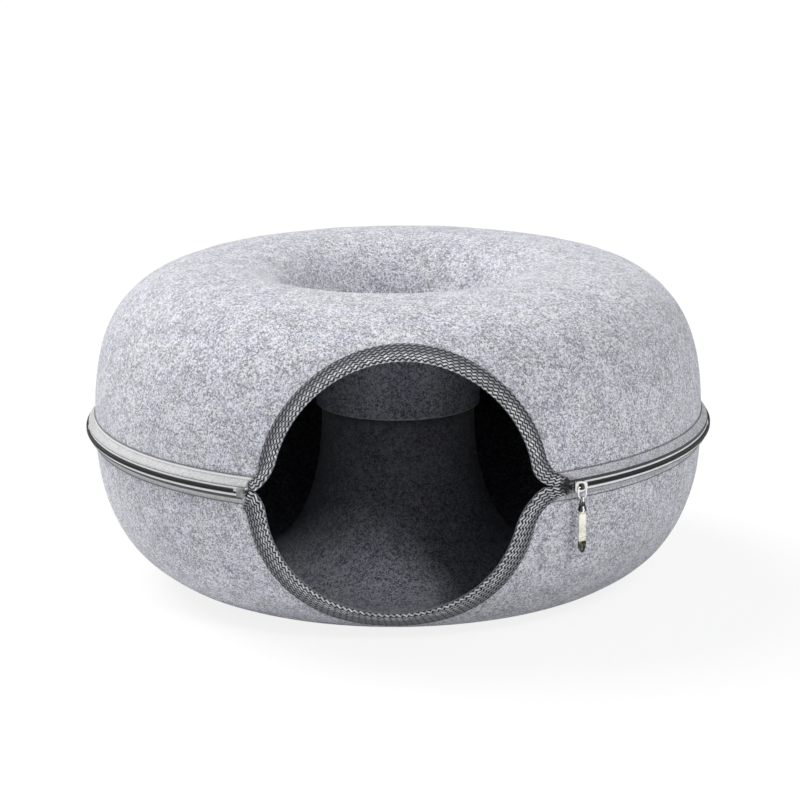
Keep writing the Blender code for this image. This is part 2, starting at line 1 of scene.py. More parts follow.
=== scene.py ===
# %% [markdown]
# # A donut shaped cat tunnel in grey felt
#
# The real object is two pressed felt half rings that a coil zip holds together round the outside.
# A round mouth is cut through both halves at the front and bound with a folded herringbone tape.
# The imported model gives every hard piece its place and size. This script dresses it: finer felt
# shells, tapes that follow the curved wall, a zip with real coils, thread, metal and light.

import json
from dataclasses import dataclass
from math import acos, asin, atan2, cos, hypot, pi, radians, sin, sqrt

import bmesh
import bpy
import numpy as np
from mathutils import Matrix, Vector, noise


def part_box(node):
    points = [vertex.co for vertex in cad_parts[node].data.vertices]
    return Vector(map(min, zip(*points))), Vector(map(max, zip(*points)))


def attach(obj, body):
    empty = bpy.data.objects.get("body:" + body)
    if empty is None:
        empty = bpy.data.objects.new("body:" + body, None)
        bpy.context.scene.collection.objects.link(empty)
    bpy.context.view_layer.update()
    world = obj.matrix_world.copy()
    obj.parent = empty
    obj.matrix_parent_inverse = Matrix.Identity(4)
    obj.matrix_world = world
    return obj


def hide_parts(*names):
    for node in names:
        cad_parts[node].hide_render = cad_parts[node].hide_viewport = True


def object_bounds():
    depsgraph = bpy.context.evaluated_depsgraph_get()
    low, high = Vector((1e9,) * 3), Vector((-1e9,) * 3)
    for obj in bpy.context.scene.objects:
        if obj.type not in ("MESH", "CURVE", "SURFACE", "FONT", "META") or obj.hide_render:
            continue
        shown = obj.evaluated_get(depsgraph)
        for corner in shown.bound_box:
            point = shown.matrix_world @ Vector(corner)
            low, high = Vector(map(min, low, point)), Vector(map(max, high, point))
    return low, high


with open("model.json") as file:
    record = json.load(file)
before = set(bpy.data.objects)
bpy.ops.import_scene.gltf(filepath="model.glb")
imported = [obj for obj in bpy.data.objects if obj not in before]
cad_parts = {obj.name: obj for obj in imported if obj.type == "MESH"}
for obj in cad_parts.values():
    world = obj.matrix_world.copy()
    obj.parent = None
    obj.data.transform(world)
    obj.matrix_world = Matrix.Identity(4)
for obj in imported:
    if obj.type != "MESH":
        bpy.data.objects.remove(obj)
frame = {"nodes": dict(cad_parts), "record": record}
cad_low, cad_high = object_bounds()
cad_size = cad_high - cad_low
print("packed model, mm:", [round(1000 * side) for side in cad_size])

# %% [markdown]
# ## Where the donut's axis is
#
# Both shells and the zip are turned round one upright axis. The zip slider's joint turns round the
# same axis at the height of the zip, so the joint's place is all that the pieces need: nothing here
# is placed by eye.

# %% The axis of the donut and points round it
joints = {joint["name"]: joint for joint in frame["record"]["behaviour"]["joints"]}
hub = Vector(joints["slider_travel"]["pos_m"])
upright = Vector((0, 0, 1))


def at(radius, angle, height):
    """A point counted from the hub: the angle runs from the front towards +X."""
    return hub + Vector((radius * sin(angle), -radius * cos(angle), height))


def angle_of(point):
    """The angle of a point round the hub, from 0 at the front to a full turn."""
    return atan2(point.x - hub.x, hub.y - point.y) % (2 * pi)


print("hub, mm:", [round(1000 * value, 1) for value in hub])

# %% [markdown]
# ## The sizes that the tapes and shells share
#
# The two halves are the same kind of thing with different numbers, so one record type holds the
# sizes of a half, and every function below takes a half. The numbers are the ones that the hard
# model was built with. Sizes that only one step needs are given at that step.

# %% Sizes of the felt halves
rim_radius = 0.293
felt_thickness = 0.005
neck_radius = 0.0745
fit_gap = 0.0003


@dataclass
class Half:
    """One half of the donut. Heights are counted from the zip, away from it.

    The crest is the ring's highest line, and flat_depth cuts it level, which gives the lower half
    its foot. The neck is the narrow part of the centre hole. A fillet flares each foot of the mouth,
    and its dip is how far below its end it would run out level. The band is the outside part of the
    binding: its width, the height of its far edge at the zip, and how far its left end leans.
    """

    name: str
    side: int
    crest_radius: float
    crest_height: float
    flat_depth: float
    outer_exponent: float
    neck_radius: float
    neck_curve_end: float
    neck_end: float
    mouth_radius: float
    mouth_shift: float
    mouth_rise: float
    right_fillet: float
    right_dip: float
    left_fillet: float
    left_dip: float
    band_width: float
    band_tail: float
    left_lean: float


upper = Half(
    name="upper",
    side=1,
    crest_radius=0.1643,
    crest_height=0.1529,
    flat_depth=0.0,
    outer_exponent=2.65,
    neck_radius=neck_radius,
    neck_curve_end=0.030,
    neck_end=0.0145,
    mouth_radius=0.1145,
    mouth_shift=0.004,
    mouth_rise=0.001,
    right_fillet=0.025,
    right_dip=0.0,
    left_fillet=0.060,
    left_dip=0.015,
    band_width=0.0135,
    band_tail=0.004,
    left_lean=0.0,
)
lower = Half(
    name="lower",
    side=-1,
    crest_radius=0.1657,
    crest_height=0.1505,
    flat_depth=0.0005,
    outer_exponent=2.36,
    neck_radius=neck_radius - fit_gap - felt_thickness,
    neck_curve_end=-0.0105,
    neck_end=-0.030,
    mouth_radius=0.112,
    mouth_shift=-0.006,
    mouth_rise=0.0065,
    right_fillet=0.060,
    right_dip=0.0105,
    left_fillet=0.030,
    left_dip=0.0065,
    band_width=0.016,
    band_tail=0.0075,
    left_lean=0.006,
)
halves = (upper, lower)
print("radius of the mouth, mm:", {half.name: 1000 * half.mouth_radius for half in halves})

# %% [markdown]
# ## Small helpers for meshes
#
# Every new piece ends the same way: a bmesh becomes an object at the origin, gets a material and
# rides on a body of the imported model. All pieces go through the same short functions, so that none
# is left behind when the zip slider moves.

# %% Helpers that turn a bmesh into a finished piece
def object_from(bm, name, crease=35):
    """Puts a bmesh in the scene under a name, smooth except where it folds sharply."""
    mesh = bpy.data.meshes.new(name)
    bm.to_mesh(mesh)
    bm.free()
    mesh.shade_smooth()
    mesh.set_sharp_from_angle(angle=radians(crease))
    piece = bpy.data.objects.new(name, mesh)
    bpy.context.collection.objects.link(piece)
    return piece


def seat(piece, body, replaced=()):
    """Ties a piece to its body, and hides the plain piece that it stands for."""
    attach(piece, body)
    if replaced:
        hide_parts(*replaced)
    print(f"{piece.name}: {len(piece.data.polygons)} faces on {body}")


def wall(piece, thickness, offset):
    """Gives a sheet its thickness; an offset of -1 keeps the sheet as the outer face."""
    solid = piece.modifiers.new("Wall", "SOLIDIFY")
    solid.thickness = thickness
    solid.offset = offset
    solid.use_even_offset = True


print("piece helpers ready")

# %% [markdown]
# ## The outline of the pressed wall
#
# Pressed felt shells have the section of a squashed circle: full at the shoulder and flatter on
# top. A superellipse gives that with one exponent. The outside of the ring is one quarter of such
# a curve, and the funnel down to the centre hole is another, a little rounder.

# %% Outline of the wall's section
rim_half_gap = 0.006
funnel_exponent = 2.2
outside_points = 46
funnel_points = 34
collar_points = 4


def quarter(crest_radius, side_radius, crest, side, exponent, low, high, count):
    """Points (radius, height) on a superellipse quarter between two heights."""

    def turn(height):
        share = max(0.0, min(1.0, (height - side) / (crest - side)))
        return asin(share ** (exponent / 2))

    turns = np.linspace(turn(low), turn(high), count)
    points = []
    for t in turns:
        reach = max(0.0, cos(t)) ** (2 / exponent)
        rise = max(0.0, sin(t)) ** (2 / exponent)
        radius = crest_radius + (side_radius - crest_radius) * reach
        points.append((radius, side + (crest - side) * rise))
    return points


def wall_section(half):
    """The outside of a half, from the felt's edge at the zip over the crest into the collar."""
    top = half.crest_height - half.flat_depth
    outside = quarter(
        half.crest_radius,
        rim_radius,
        half.crest_height,
        0.0,
        half.outer_exponent,
        rim_half_gap,
        top,
        outside_points,
    )
    funnel = quarter(
        half.crest_radius,
        half.neck_radius,
        half.crest_height,
        half.neck_curve_end,
        funnel_exponent,
        half.neck_curve_end,
        top,
        funnel_points,
    )
    if half.flat_depth == 0:
        funnel = funnel[:-1]
    collar = np.linspace(half.neck_curve_end, half.neck_end, collar_points)[1:]
    return outside + funnel[::-1] + [(half.neck_radius, height) for height in collar]


print("points on a section:", {half.name: len(wall_section(half)) for half in halves})

# %% [markdown]
# ## Places on the wall
#
# The tapes lie on the felt, so the wall must be known everywhere and not only at the section's
# points, and again a little further out for the middle of a tape. The curve is worked out finely
# once for each distance from the felt, and a place between two of its points is read off it.

# %% The wall's radius at any height
fine_points = 900


def parallel_curve(half, offset):
    """Heights and radii of the outer wall's curve, moved outwards by an offset."""
    points = quarter(
        half.crest_radius,
        rim_radius,
        half.crest_height,
        0.0,
        half.outer_exponent,
        0.0,
        half.crest_height,
        fine_points,
    )
    radii = np.array([point[0] for point in points])
    heights = np.array([point[1] for point in points])
    along_radius = np.gradient(radii)
    along_height = np.gradient(heights)
    length = np.hypot(along_radius, along_height)
    radii = radii + offset * along_height / length
    heights = heights - offset * along_radius / length
    heights[0] = 0.0
    return np.maximum.accumulate(heights), radii


curves = {}


def radius_at(half, offset, height):
    """The radius of the outer wall at a height, moved outwards by an offset."""
    key = (half.name, offset)
    if key not in curves:
        curves[key] = parallel_curve(half, offset)
    heights, radii = curves[key]
    return float(np.interp(height, heights, radii))


def on_front(half, offset, x, height):
    """The point of the front wall that a level line along Y meets at x and a height."""
    radius = radius_at(half, offset, height)
    return hub + Vector((x, -sqrt(radius * radius - x * x), half.side * height))


print("wall at 100 mm over the zip, mm:", round(1000 * radius_at(upper, 0.0, 0.1), 1))

# %% [markdown]
# ## The outline of the mouth
#
# The cut edge is a round arch in each half, and each foot of the arch is flared by a fillet that
# runs down to the zip. The upper half's right foot runs out level, beside the parked slider, and
# the other feet meet the zip aslant. An arch is kept as three stretches, right foot, crown and left
# foot, because a stretch of one arch then has its partner in another.

# %% Arcs and arches
same_place = 0.0001
foot_points = 60
crown_points = 240


def arc(centre, radius, start, end, count):
    """Points on an arc, with the centre and the points as (x, height)."""
    turns = np.linspace(start, end, count)
    return [(centre[0] + radius * cos(turn), centre[1] + radius * sin(turn)) for turn in turns]


def foot(radius, rise, fillet, dip, base, end):
    """The fillet at an arch's right foot, from its outer end to the arch, and the arch's angle there.

    The fillet touches the level at base - dip, so with a dip it meets the base in a corner.
    """
    height = base + fillet - dip
    middle = sqrt((radius + fillet) ** 2 - (height - rise) ** 2)
    lean = asin((height - rise) / (radius + fillet))
    end_cut = acos(max(-1.0, min(0.0, (end - middle) / fillet)))
    base_cut = pi - asin((fillet - dip) / fillet)
    points = arc((middle, height), fillet, -max(end_cut, base_cut), lean - pi, foot_points)
    if end - points[0][0] > same_place:
        points.insert(0, (end, base))
    return points, lean


def arch(radius, middle, right, left, base, right_end, left_end):
    """Three stretches from the right end to the left: foot, crown, foot."""
    shift, rise = middle
    right_foot, right_lean = foot(radius, rise, *right, base, right_end - shift)
    left_foot, left_lean = foot(radius, rise, *left, base, shift - left_end)
    crown = arc((0.0, rise), radius, right_lean, pi - left_lean, crown_points)
    left_foot = [(-x, height) for x, height in reversed(left_foot)]
    return [[(shift + x, height) for x, height in line] for line in (right_foot, crown, left_foot)]


print("points on an arch: about", 2 * foot_points + crown_points)

# %% [markdown]
# ## The cut edge and the binding's far edge
#
# The binding is the band between the cut edge and a second arch further out. A tape can be drawn
# between the two when both have the same number of points in each stretch, at even steps.

# %% Lines of the mouth
binding_half_gap = 0.0004
band_right_fillet = 0.034
band_left_fillet = 0.022
mouth_right_end = 0.147
mouth_left_end = 0.131
stretch_counts = (44, 230, 44)


def run_along(points):
    """How far each point lies along its line, from 0."""
    steps = np.linalg.norm(np.diff(np.array(points, dtype=float), axis=0), axis=1)
    return np.concatenate([[0.0], np.cumsum(steps)])


def even_points(line, count):
    """The same line with its points at even steps along it."""
    line = np.array(line)
    run = run_along(line)
    places = np.linspace(0.0, run[-1], count)
    return np.column_stack([np.interp(places, run, line[:, 0]), np.interp(places, run, line[:, 1])])


def matched(stretches, counts):
    """Joins three stretches into one line with a set number of points in each."""
    lines = [even_points(line, count) for line, count in zip(stretches, counts)]
    return np.concatenate([lines[0], lines[1][1:], lines[2][1:]])


def fold_stretches(half, inset=0.0, reach=0.0):
    """The mouth's edge where the binding folds over, or a line further into the felt."""
    return arch(
        half.mouth_radius + inset,
        (half.mouth_shift, half.mouth_rise),
        (half.right_fillet - inset, half.right_dip),
        (half.left_fillet - inset, half.left_dip),
        binding_half_gap + inset,
        mouth_right_end + reach,
        -mouth_left_end - reach,
    )


def band_stretches(half):
    """The far edge of the binding."""
    return arch(
        half.mouth_radius + half.band_width,
        (half.mouth_shift, half.mouth_rise),
        (band_right_fillet, 0.0),
        (band_left_fillet, 0.0),
        half.band_tail,
        mouth_right_end,
        -mouth_left_end - half.left_lean,
    )


fold_lines = {half.name: matched(fold_stretches(half), stretch_counts) for half in halves}
band_lines = {half.name: matched(band_stretches(half), stretch_counts) for half in halves}
for half in halves:
    print(f"{half.name} mouth edge, mm:", round(1000 * run_along(fold_lines[half.name])[-1]))

# %% [markdown]
# ## Helpers for materials
#
# A procedural material is a chain of nodes, and short functions make such chains readable: one
# plugs a value or another node's output into a socket, one adds a node with its inputs filled, one
# does a sum, one mixes two colours, one stretches a range and one makes a noise.

# %% Node helpers
def plug(tree, socket, source):
    """Links a socket to another node's output, or sets its value."""
    if isinstance(source, bpy.types.NodeSocket):
        tree.links.new(source, socket)
    elif isinstance(source, (tuple, list)) and len(source) == 3 and len(socket.default_value) == 4:
        socket.default_value = (*source, 1.0)
    else:
        socket.default_value = source


def put(tree, kind, **sources):
    """Adds a node and fills its inputs by name, with _ for a space."""
    node = tree.nodes.new(kind)
    for name, source in sources.items():
        plug(tree, node.inputs[name.replace("_", " ")], source)
    return node


def maths(tree, operation, *terms):
    """One sum on one to three numbers."""
    node = tree.nodes.new("ShaderNodeMath")
    node.operation = operation
    for socket, term in zip(node.inputs, terms):
        plug(tree, socket, term)
    return node.outputs[0]


def mixed(tree, share, first, second, blend="MIX"):
    """Mixes two colours by a share."""
    node = tree.nodes.new("ShaderNodeMix")
    node.data_type = "RGBA"
    node.blend_type = blend
    plug(tree, node.inputs[0], share)
    plug(tree, node.inputs[6], first)
    plug(tree, node.inputs[7], second)
    return node.outputs[2]


def ranged(tree, value, low, high, new_low=0.0, new_high=1.0, smooth=True):
    """Stretches a range of a value to a new range."""
    node = tree.nodes.new("ShaderNodeMapRange")
    node.interpolation_type = "SMOOTHSTEP" if smooth else "LINEAR"
    for socket, source in zip(node.inputs, (value, low, high, new_low, new_high)):
        plug(tree, socket, source)
    return node.outputs[0]


def cloudy(tree, place, scale, detail=3.0, roughness=0.55, distortion=0.0, kind="FBM"):
    """A noise value over a place in metres."""
    node = tree.nodes.new("ShaderNodeTexNoise")
    node.noise_type = kind
    plug(tree, node.inputs["Vector"], place)
    plug(tree, node.inputs["Scale"], scale)
    plug(tree, node.inputs["Detail"], detail)
    plug(tree, node.inputs["Roughness"], roughness)
    plug(tree, node.inputs["Distortion"], distortion)
    return node.outputs[0]


print("node helpers ready")

# %% [markdown]
# ## Helpers for groups and materials
#
# A group is an effect that is built once, with named inputs and outputs, and placed in each
# material with its own values. The shader stays in the material. Numbers that are the same all over
# a surface go straight on it, and what changes from place to place is plugged in.

# %% Group and material helpers
number = "NodeSocketFloat"
colour = "NodeSocketColor"
vector = "NodeSocketVector"


def new_group(name, inputs, outputs):
    """An empty node group with named sockets."""
    group = bpy.data.node_groups.new(name, "ShaderNodeTree")
    for title, kind, value in inputs:
        socket = group.interface.new_socket(name=title, in_out="INPUT", socket_type=kind)
        if value is not None:
            socket.default_value = value
    for title, kind in outputs:
        group.interface.new_socket(name=title, in_out="OUTPUT", socket_type=kind)
    return group, group.nodes.new("NodeGroupInput").outputs, group.nodes.new("NodeGroupOutput").inputs


def use(tree, group, **sources):
    """Places a group in a tree and fills its inputs by name."""
    node = tree.nodes.new("ShaderNodeGroup")
    node.node_tree = group
    for name, source in sources.items():
        plug(tree, node.inputs[name.replace("_", " ")], source)
    return node.outputs


def new_material(name, **constants):
    """A material whose shader has its constant values set, ready for its nodes."""
    material = bpy.data.materials.new(name)
    material.use_nodes = True
    tree = material.node_tree
    shader = tree.nodes["Principled BSDF"]
    for title, value in constants.items():
        plug(tree, shader.inputs[title.replace("_", " ")], value)
    return material, tree, shader


def raised(tree, shader, height, distance, strength=1.0):
    """Feeds a height to the shader's normal through a bump node."""
    bump = put(tree, "ShaderNodeBump", Height=height, Distance=distance, Strength=strength)
    tree.links.new(bump.outputs[0], shader.inputs["Normal"])


print("group and material helpers ready")

# %% [markdown]
# ## Pressed fibres
#
# Heather felt is pale and dark wool pressed into one mat, so it has soft blotches of a few
# millimetres with single fibres over them. A fine grain, blotches and wide drifts are added up, and
# the sum chooses between deep and pale wool. Another noise dyes some of it with a tint, a ridged one
# draws thin pale lines like fibres, and a last, wide one lets the grey drift a little between cool
# and warm, as wool from many batches does. The felts and the zip's tapes all use this group.

# %% Group: pressed fibres
pressed_fibres, given, made = new_group(
    "pressed fibres",
    [
        ("Place", vector, None),
        ("Pale", colour, (0.6, 0.6, 0.6, 1)),
        ("Deep", colour, (0.3, 0.3, 0.3, 1)),
        ("Tint", colour, (0.5, 0.5, 0.6, 1)),
        ("Fineness", number, 1.0),
    ],
    [("Colour", colour), ("Height", number)],
)
tree = pressed_fibres


def fine(scale):
    """A noise scale that follows the group's fineness."""
    return maths(tree, "MULTIPLY", given["Fineness"], scale)


place = given["Place"]
grain_share = 0.60
blotch_share = 0.28
drift_share = 0.12
tint_share = 0.45
fibre_share = 0.22
cool_grey = (0.985, 0.993, 1.0)
warm_grey = (1.0, 0.993, 0.982)
grain = cloudy(tree, place, fine(640.0), detail=2.0, roughness=0.65, distortion=0.4)
blotches = cloudy(tree, place, fine(260.0), detail=2.0, roughness=0.6, distortion=0.5)
drifts = cloudy(tree, place, fine(60.0), detail=2.0, roughness=0.5)
ridges = cloudy(tree, place, fine(190.0), roughness=0.6, distortion=1.4, kind="RIDGED_MULTIFRACTAL")
tone = maths(tree, "MULTIPLY_ADD", grain, grain_share, maths(tree, "MULTIPLY", blotches, blotch_share))
tone = maths(tree, "MULTIPLY_ADD", drifts, drift_share, tone)
shade = mixed(tree, ranged(tree, tone, 0.41, 0.58), given["Deep"], given["Pale"])
tinted = ranged(tree, cloudy(tree, place, fine(330.0), detail=2.0), 0.5, 0.62)
shade = mixed(tree, maths(tree, "MULTIPLY", tinted, tint_share), shade, given["Tint"])
lines = ranged(tree, ridges, 0.9, 1.5)
shade = mixed(tree, maths(tree, "MULTIPLY", lines, fibre_share), shade, given["Pale"])
warmth = ranged(tree, cloudy(tree, place, fine(48.0), detail=2.0), 0.42, 0.58)
drift = mixed(tree, warmth, cool_grey, warm_grey)
shade = mixed(tree, 1.0, shade, drift, "MULTIPLY")
plug(tree, made["Colour"], shade)
height = maths(tree, "MULTIPLY_ADD", lines, 0.35, maths(tree, "MULTIPLY_ADD", grain, 0.9, blotches))
plug(tree, made["Height"], height)
print("group:", pressed_fibres.name)

# %% [markdown]
# ## Herringbone tape
#
# The binding is a woven tape with pale zigzag lines that run along it on a dark ground. The pattern
# has to follow the tape round the mouth, so it reads the tape's own UV map, which is laid out in
# metres: U along the tape, V across it. A stripe is a fraction of V, and a lopsided triangle wave
# of U pushes it to and fro. The long limb of each zig lies over the ground and is bright, and the
# short limb dips under it and is a little duller.

# %% Group: herringbone
herringbone, given, made = new_group(
    "herringbone",
    [("Place", vector, None), ("Row", number, 0.003), ("Pitch", number, 0.005), ("Lean", number, 1.0)],
    [("Yarn", number), ("Height", number)],
)
tree = herringbone
long_limb = 0.62
split = put(tree, "ShaderNodeSeparateXYZ", Vector=given["Place"])
within = maths(tree, "FRACT", maths(tree, "DIVIDE", split.outputs[0], given["Pitch"]))
climb = maths(tree, "DIVIDE", within, long_limb)
drop = maths(tree, "DIVIDE", maths(tree, "SUBTRACT", 1.0, within), 1.0 - long_limb)
zigzag = maths(tree, "MULTIPLY", maths(tree, "MINIMUM", climb, drop), given["Lean"])
phase = maths(tree, "ADD", maths(tree, "DIVIDE", split.outputs[1], given["Row"]), zigzag)
stripe = maths(tree, "PINGPONG", phase, 0.5)
round_yarn = maths(tree, "SINE", maths(tree, "MULTIPLY", stripe, pi))
on_top = ranged(tree, maths(tree, "SUBTRACT", drop, climb), -0.35, 0.25)
body = maths(tree, "MULTIPLY", round_yarn, maths(tree, "MULTIPLY_ADD", on_top, 0.25, 0.75))
plug(tree, made["Yarn"], ranged(tree, body, 0.48, 0.86))
plug(tree, made["Height"], body)
print("group:", herringbone.name)

# %% [markdown]
# ## Plain weave
#
# The zip's tapes are a fine plain weave: threads along the tape and threads across it, over and
# under. Two sine waves whose signs swap from cell to cell give the cushions of such a weave.

# %% Group: plain weave
plain_weave, given, made = new_group(
    "plain weave",
    [("Place", vector, None), ("Along", number, 0.0007), ("Across", number, 0.0006)],
    [("Height", number)],
)
tree = plain_weave
split = put(tree, "ShaderNodeSeparateXYZ", Vector=given["Place"])
waves = []
for run, width in zip(split.outputs, (given["Along"], given["Across"])):
    threads = maths(tree, "DIVIDE", run, width)
    waves.append(maths(tree, "SINE", maths(tree, "MULTIPLY", threads, pi)))
cell = maths(tree, "MULTIPLY", *waves)
plug(tree, made["Height"], ranged(tree, cell, -1.0, 1.0, smooth=False))
print("group:", plain_weave.name)

# %% [markdown]
# ## Felt, outside and inside
#
# Outside, the felt is a pale blue grey. Its sheen is the light that the loose fibres on its skin
# catch at the edges. Inside the tunnel the same felt is given deeper colours, as painted shade, so
# the inner faces have materials of their own. The lower half's inner column carries more painted
# shade, with a painted shadow just under the collar, and the collar's own rim has a painted
# highlight. Both are masks of height, read from Object coordinates.

# %% Materials: felt
floor_level = -0.150
# Heights of the painted highlight along the collar's lower rim.
rim_highlight_heights = (0.0012, 0.0026)
# How far the painted shadow under the collar's edge reaches.
collar_shadow_depth = 0.012
collar_shadow_end = 0.001


def height_mask(tree, place, low, high):
    """0 at and below one height over the zip, 1 at and above another."""
    rise = put(tree, "ShaderNodeSeparateXYZ", Vector=place).outputs[2]
    return ranged(tree, rise, hub.z + low, hub.z + high)


def felt(name, pale, deep, tint, shading=None):
    """Pressed fibres in three colours, with painted shade or a painted highlight by height where the
    felt needs it.
    """
    material, tree, shader = new_material(
        name, Roughness=0.95, Sheen_Weight=0.25, Sheen_Roughness=0.55, Specular_IOR_Level=0.2
    )
    place = put(tree, "ShaderNodeTexCoord").outputs["Object"]
    fibres = use(tree, pressed_fibres, Place=place, Pale=pale, Deep=deep, Tint=tint)
    look = fibres["Colour"]
    if shading:
        look = shading(tree, place, look)
    plug(tree, shader.inputs["Base Color"], look)
    raised(tree, shader, fibres["Height"], 0.0008, 0.7)
    return material


# The collar's rim is painted paler, as a highlight where its bevelled edge catches light.
def painted_rim_highlight(tree, place, look):
    """A painted highlight along the collar's lower rim, a little paler than the felt above it."""
    above = height_mask(tree, place, upper.neck_end + rim_highlight_heights[0], upper.neck_end + rim_highlight_heights[1])
    share = maths(tree, "MULTIPLY", maths(tree, "SUBTRACT", 1.0, above), 0.35)
    return mixed(tree, share, look, (0.42, 0.42, 0.40))


def painted_column_shade(tree, place, look):
    """Painted shade, deeper towards the collar, and a painted shadow in the crease under it."""
    rising = height_mask(tree, place, floor_level, upper.neck_end)
    # A painted shadow just under the collar's edge, over painted shade that deepens upwards.
    crease = height_mask(tree, place, upper.neck_end - collar_shadow_depth, upper.neck_end - collar_shadow_end)
    look = mixed(tree, maths(tree, "MULTIPLY", rising, 0.62), look, (0.02, 0.02, 0.022))
    return mixed(tree, maths(tree, "MULTIPLY", crease, 0.6), look, (0.006, 0.006, 0.007))


outer_felt = felt("outer felt", (0.82, 0.82, 0.86), (0.22, 0.225, 0.25), (0.45, 0.46, 0.58))
# The inner felts' deeper colours are painted shade: the felt is the same on both faces.
shaded_inner_colours = ((0.38, 0.385, 0.44), (0.065, 0.07, 0.082), (0.20, 0.21, 0.29))
shaded_inner_felts = {
    upper.name: felt("upper inner felt", *shaded_inner_colours, painted_rim_highlight),
    lower.name: felt("lower inner felt", *shaded_inner_colours, painted_column_shade),
}
print("materials:", outer_felt.name, [material.name for material in shaded_inner_felts.values()])

# %% [markdown]
# ## The other finishes
#
# The binding is dark with pale yarns. The zip's tapes are felt coloured cloth, with a white thread
# beside the coil and a painted shadow line outside it. Both are paler towards their left end, where
# the upper one's hem has a painted white highlight. The coil is black nylon, the stitches are dark
# thread, the slider and its pull are bright plated metal with a darker link that has a painted
# highlight, the tab's foot has a painted dark reflection, and the pin is satin.
#
# In the corner where the slider is parked, the tapes and the binding carry painted shade, and the
# slider carries painted shade in the well under its crown. Both marks are soft round patches, so one
# group gives the mask for both. The small stops are near black all over, as painted shade, by a
# metal of their own.

# %% Group: round patch
round_patch, given, made = new_group(
    "round patch",
    [
        ("Place", vector, None),
        ("Centre", vector, None),
        ("Outer", number, 0.011),
        ("Inner", number, 0.0055),
        ("Strength", number, 0.9),
    ],
    [("Mask", number)],
)
tree = round_patch
away = put(tree, "ShaderNodeVectorMath", Vector=given["Place"])
away.operation = "DISTANCE"
plug(tree, away.inputs[1], given["Centre"])
mask = ranged(tree, away.outputs["Value"], given["Outer"], given["Inner"], 0.0, given["Strength"])
plug(tree, made["Mask"], mask)
print("group:", round_patch.name)

# %% [markdown]
# ## The binding's cloth
#
# The herringbone covers the tape up to a plain ribbed strip in its middle, which lies on the fold.
# The outermost yarns, beside the felt, are duller: a duller selvedge, with painted shade where the
# tape meets the felt. The cloud of wear is wider than a yarn, so the zigzag stays clear and only its
# contrast changes.

# %% Material: mouth binding
binding_row = 0.0030
binding_pitch = 0.0058
ribbed_strip = (0.0024, 0.0010)
rib_rate = 9000.0
selvedge_and_shade_band = (0.0108, 0.0134)
# The corner by the parked slider, where the tapes and the binding carry painted shade.
corner_shade_angle = radians(30.4)
corner_shade_centre = at(rim_radius, corner_shade_angle, 0.0)


def binding_cloth():
    """Herringbone with a ribbed strip on the fold, and painted shade beside the slider."""
    material, tree, shader = new_material(
        "binding tape", Roughness=0.8, Sheen_Weight=0.15, Sheen_Roughness=0.4, Specular_IOR_Level=0.3
    )
    place = put(tree, "ShaderNodeTexCoord").outputs["Object"]
    on_tape = put(tree, "ShaderNodeUVMap").outputs["UV"]
    across = put(tree, "ShaderNodeSeparateXYZ", Vector=on_tape).outputs[1]
    weave = use(tree, herringbone, Place=on_tape, Row=binding_row, Pitch=binding_pitch, Lean=0.6)
    worn = ranged(tree, cloudy(tree, place, 210.0), 0.35, 0.68)
    # The duller outer yarns are a selvedge, and painted shade where the tape meets the felt.
    outer = ranged(tree, across, *selvedge_and_shade_band)
    dark = mixed(tree, worn, (0.010, 0.010, 0.012), (0.028, 0.028, 0.032))
    pale = mixed(tree, worn, (0.42, 0.43, 0.45), (0.82, 0.83, 0.86))
    pale = mixed(tree, outer, pale, (0.30, 0.30, 0.33))
    cloth = mixed(tree, weave["Yarn"], dark, pale)
    ribs = ranged(tree, maths(tree, "SINE", maths(tree, "MULTIPLY", across, rib_rate)), -1.0, 1.0)
    ribbed = mixed(tree, ribs, (0.17, 0.175, 0.19), (0.42, 0.425, 0.45))
    cloth = mixed(tree, ranged(tree, across, *ribbed_strip), cloth, ribbed)
    # Painted shade in the corner beside the parked slider.
    corner = use(tree, round_patch, Place=place, Centre=corner_shade_centre)
    cloth = mixed(tree, corner["Mask"], cloth, (0.012, 0.012, 0.014))
    plug(tree, shader.inputs["Base Color"], cloth)
    raised(tree, shader, weave["Height"], 0.0007, 0.8)
    return material


binding_tape = binding_cloth()
print("material:", binding_tape.name)

# %% [markdown]
# ## Lines along a tape
#
# The zip tapes carry lines that run their whole length: a white thread, a painted shadow line and a
# hem with a painted highlight. They could be painted in an image, but a tape is a hundred times as
# long as it is wide, so a sharp one would be huge. Each line is a stripe between two distances from
# the tape's edge, and one group makes them all.

# %% Group: line along a tape
line_softness = 0.0002
tape_line, given, made = new_group(
    "line along a tape",
    [("Across", number, 0.0), ("First", number, 0.001), ("Last", number, 0.002)],
    [("Mask", number)],
)
tree = tape_line
edges = []
for edge, first_step, last_step in (("First", "SUBTRACT", "ADD"), ("Last", "ADD", "SUBTRACT")):
    outside = maths(tree, first_step, given[edge], line_softness)
    inside = maths(tree, last_step, given[edge], line_softness)
    edges.append(ranged(tree, given["Across"], outside, inside))
plug(tree, made["Mask"], maths(tree, "MULTIPLY", *edges))
print("group:", tape_line.name)

# %% [markdown]
# ## The zip tapes' cloth
#
# Both tapes are the same cloth, woven and fuzzy. They are like the felt in colour beside the slider
# and paler at the chain's other end. U runs away from the slider on the upper tape and towards it on
# the lower one, and along it a tape's painted shadow line grows narrower and paler.

# %% Materials: zip tapes
thread_start = 0.0018
# Where the painted highlight lies on the upper tape's hem.
hem_highlight_line = (0.0127, 0.0145)
edge_shade_line = 0.0148
tape_change = (0.75, 1.15)
shadow_depths = (0.95, 0.60)
felt_like = ((0.74, 0.74, 0.77), (0.30, 0.305, 0.33))
# The colours of the tapes' paler left end.
paler_end = ((0.64, 0.64, 0.63), (0.45, 0.45, 0.45))
thread_and_highlight_white = (0.96, 0.96, 0.96)


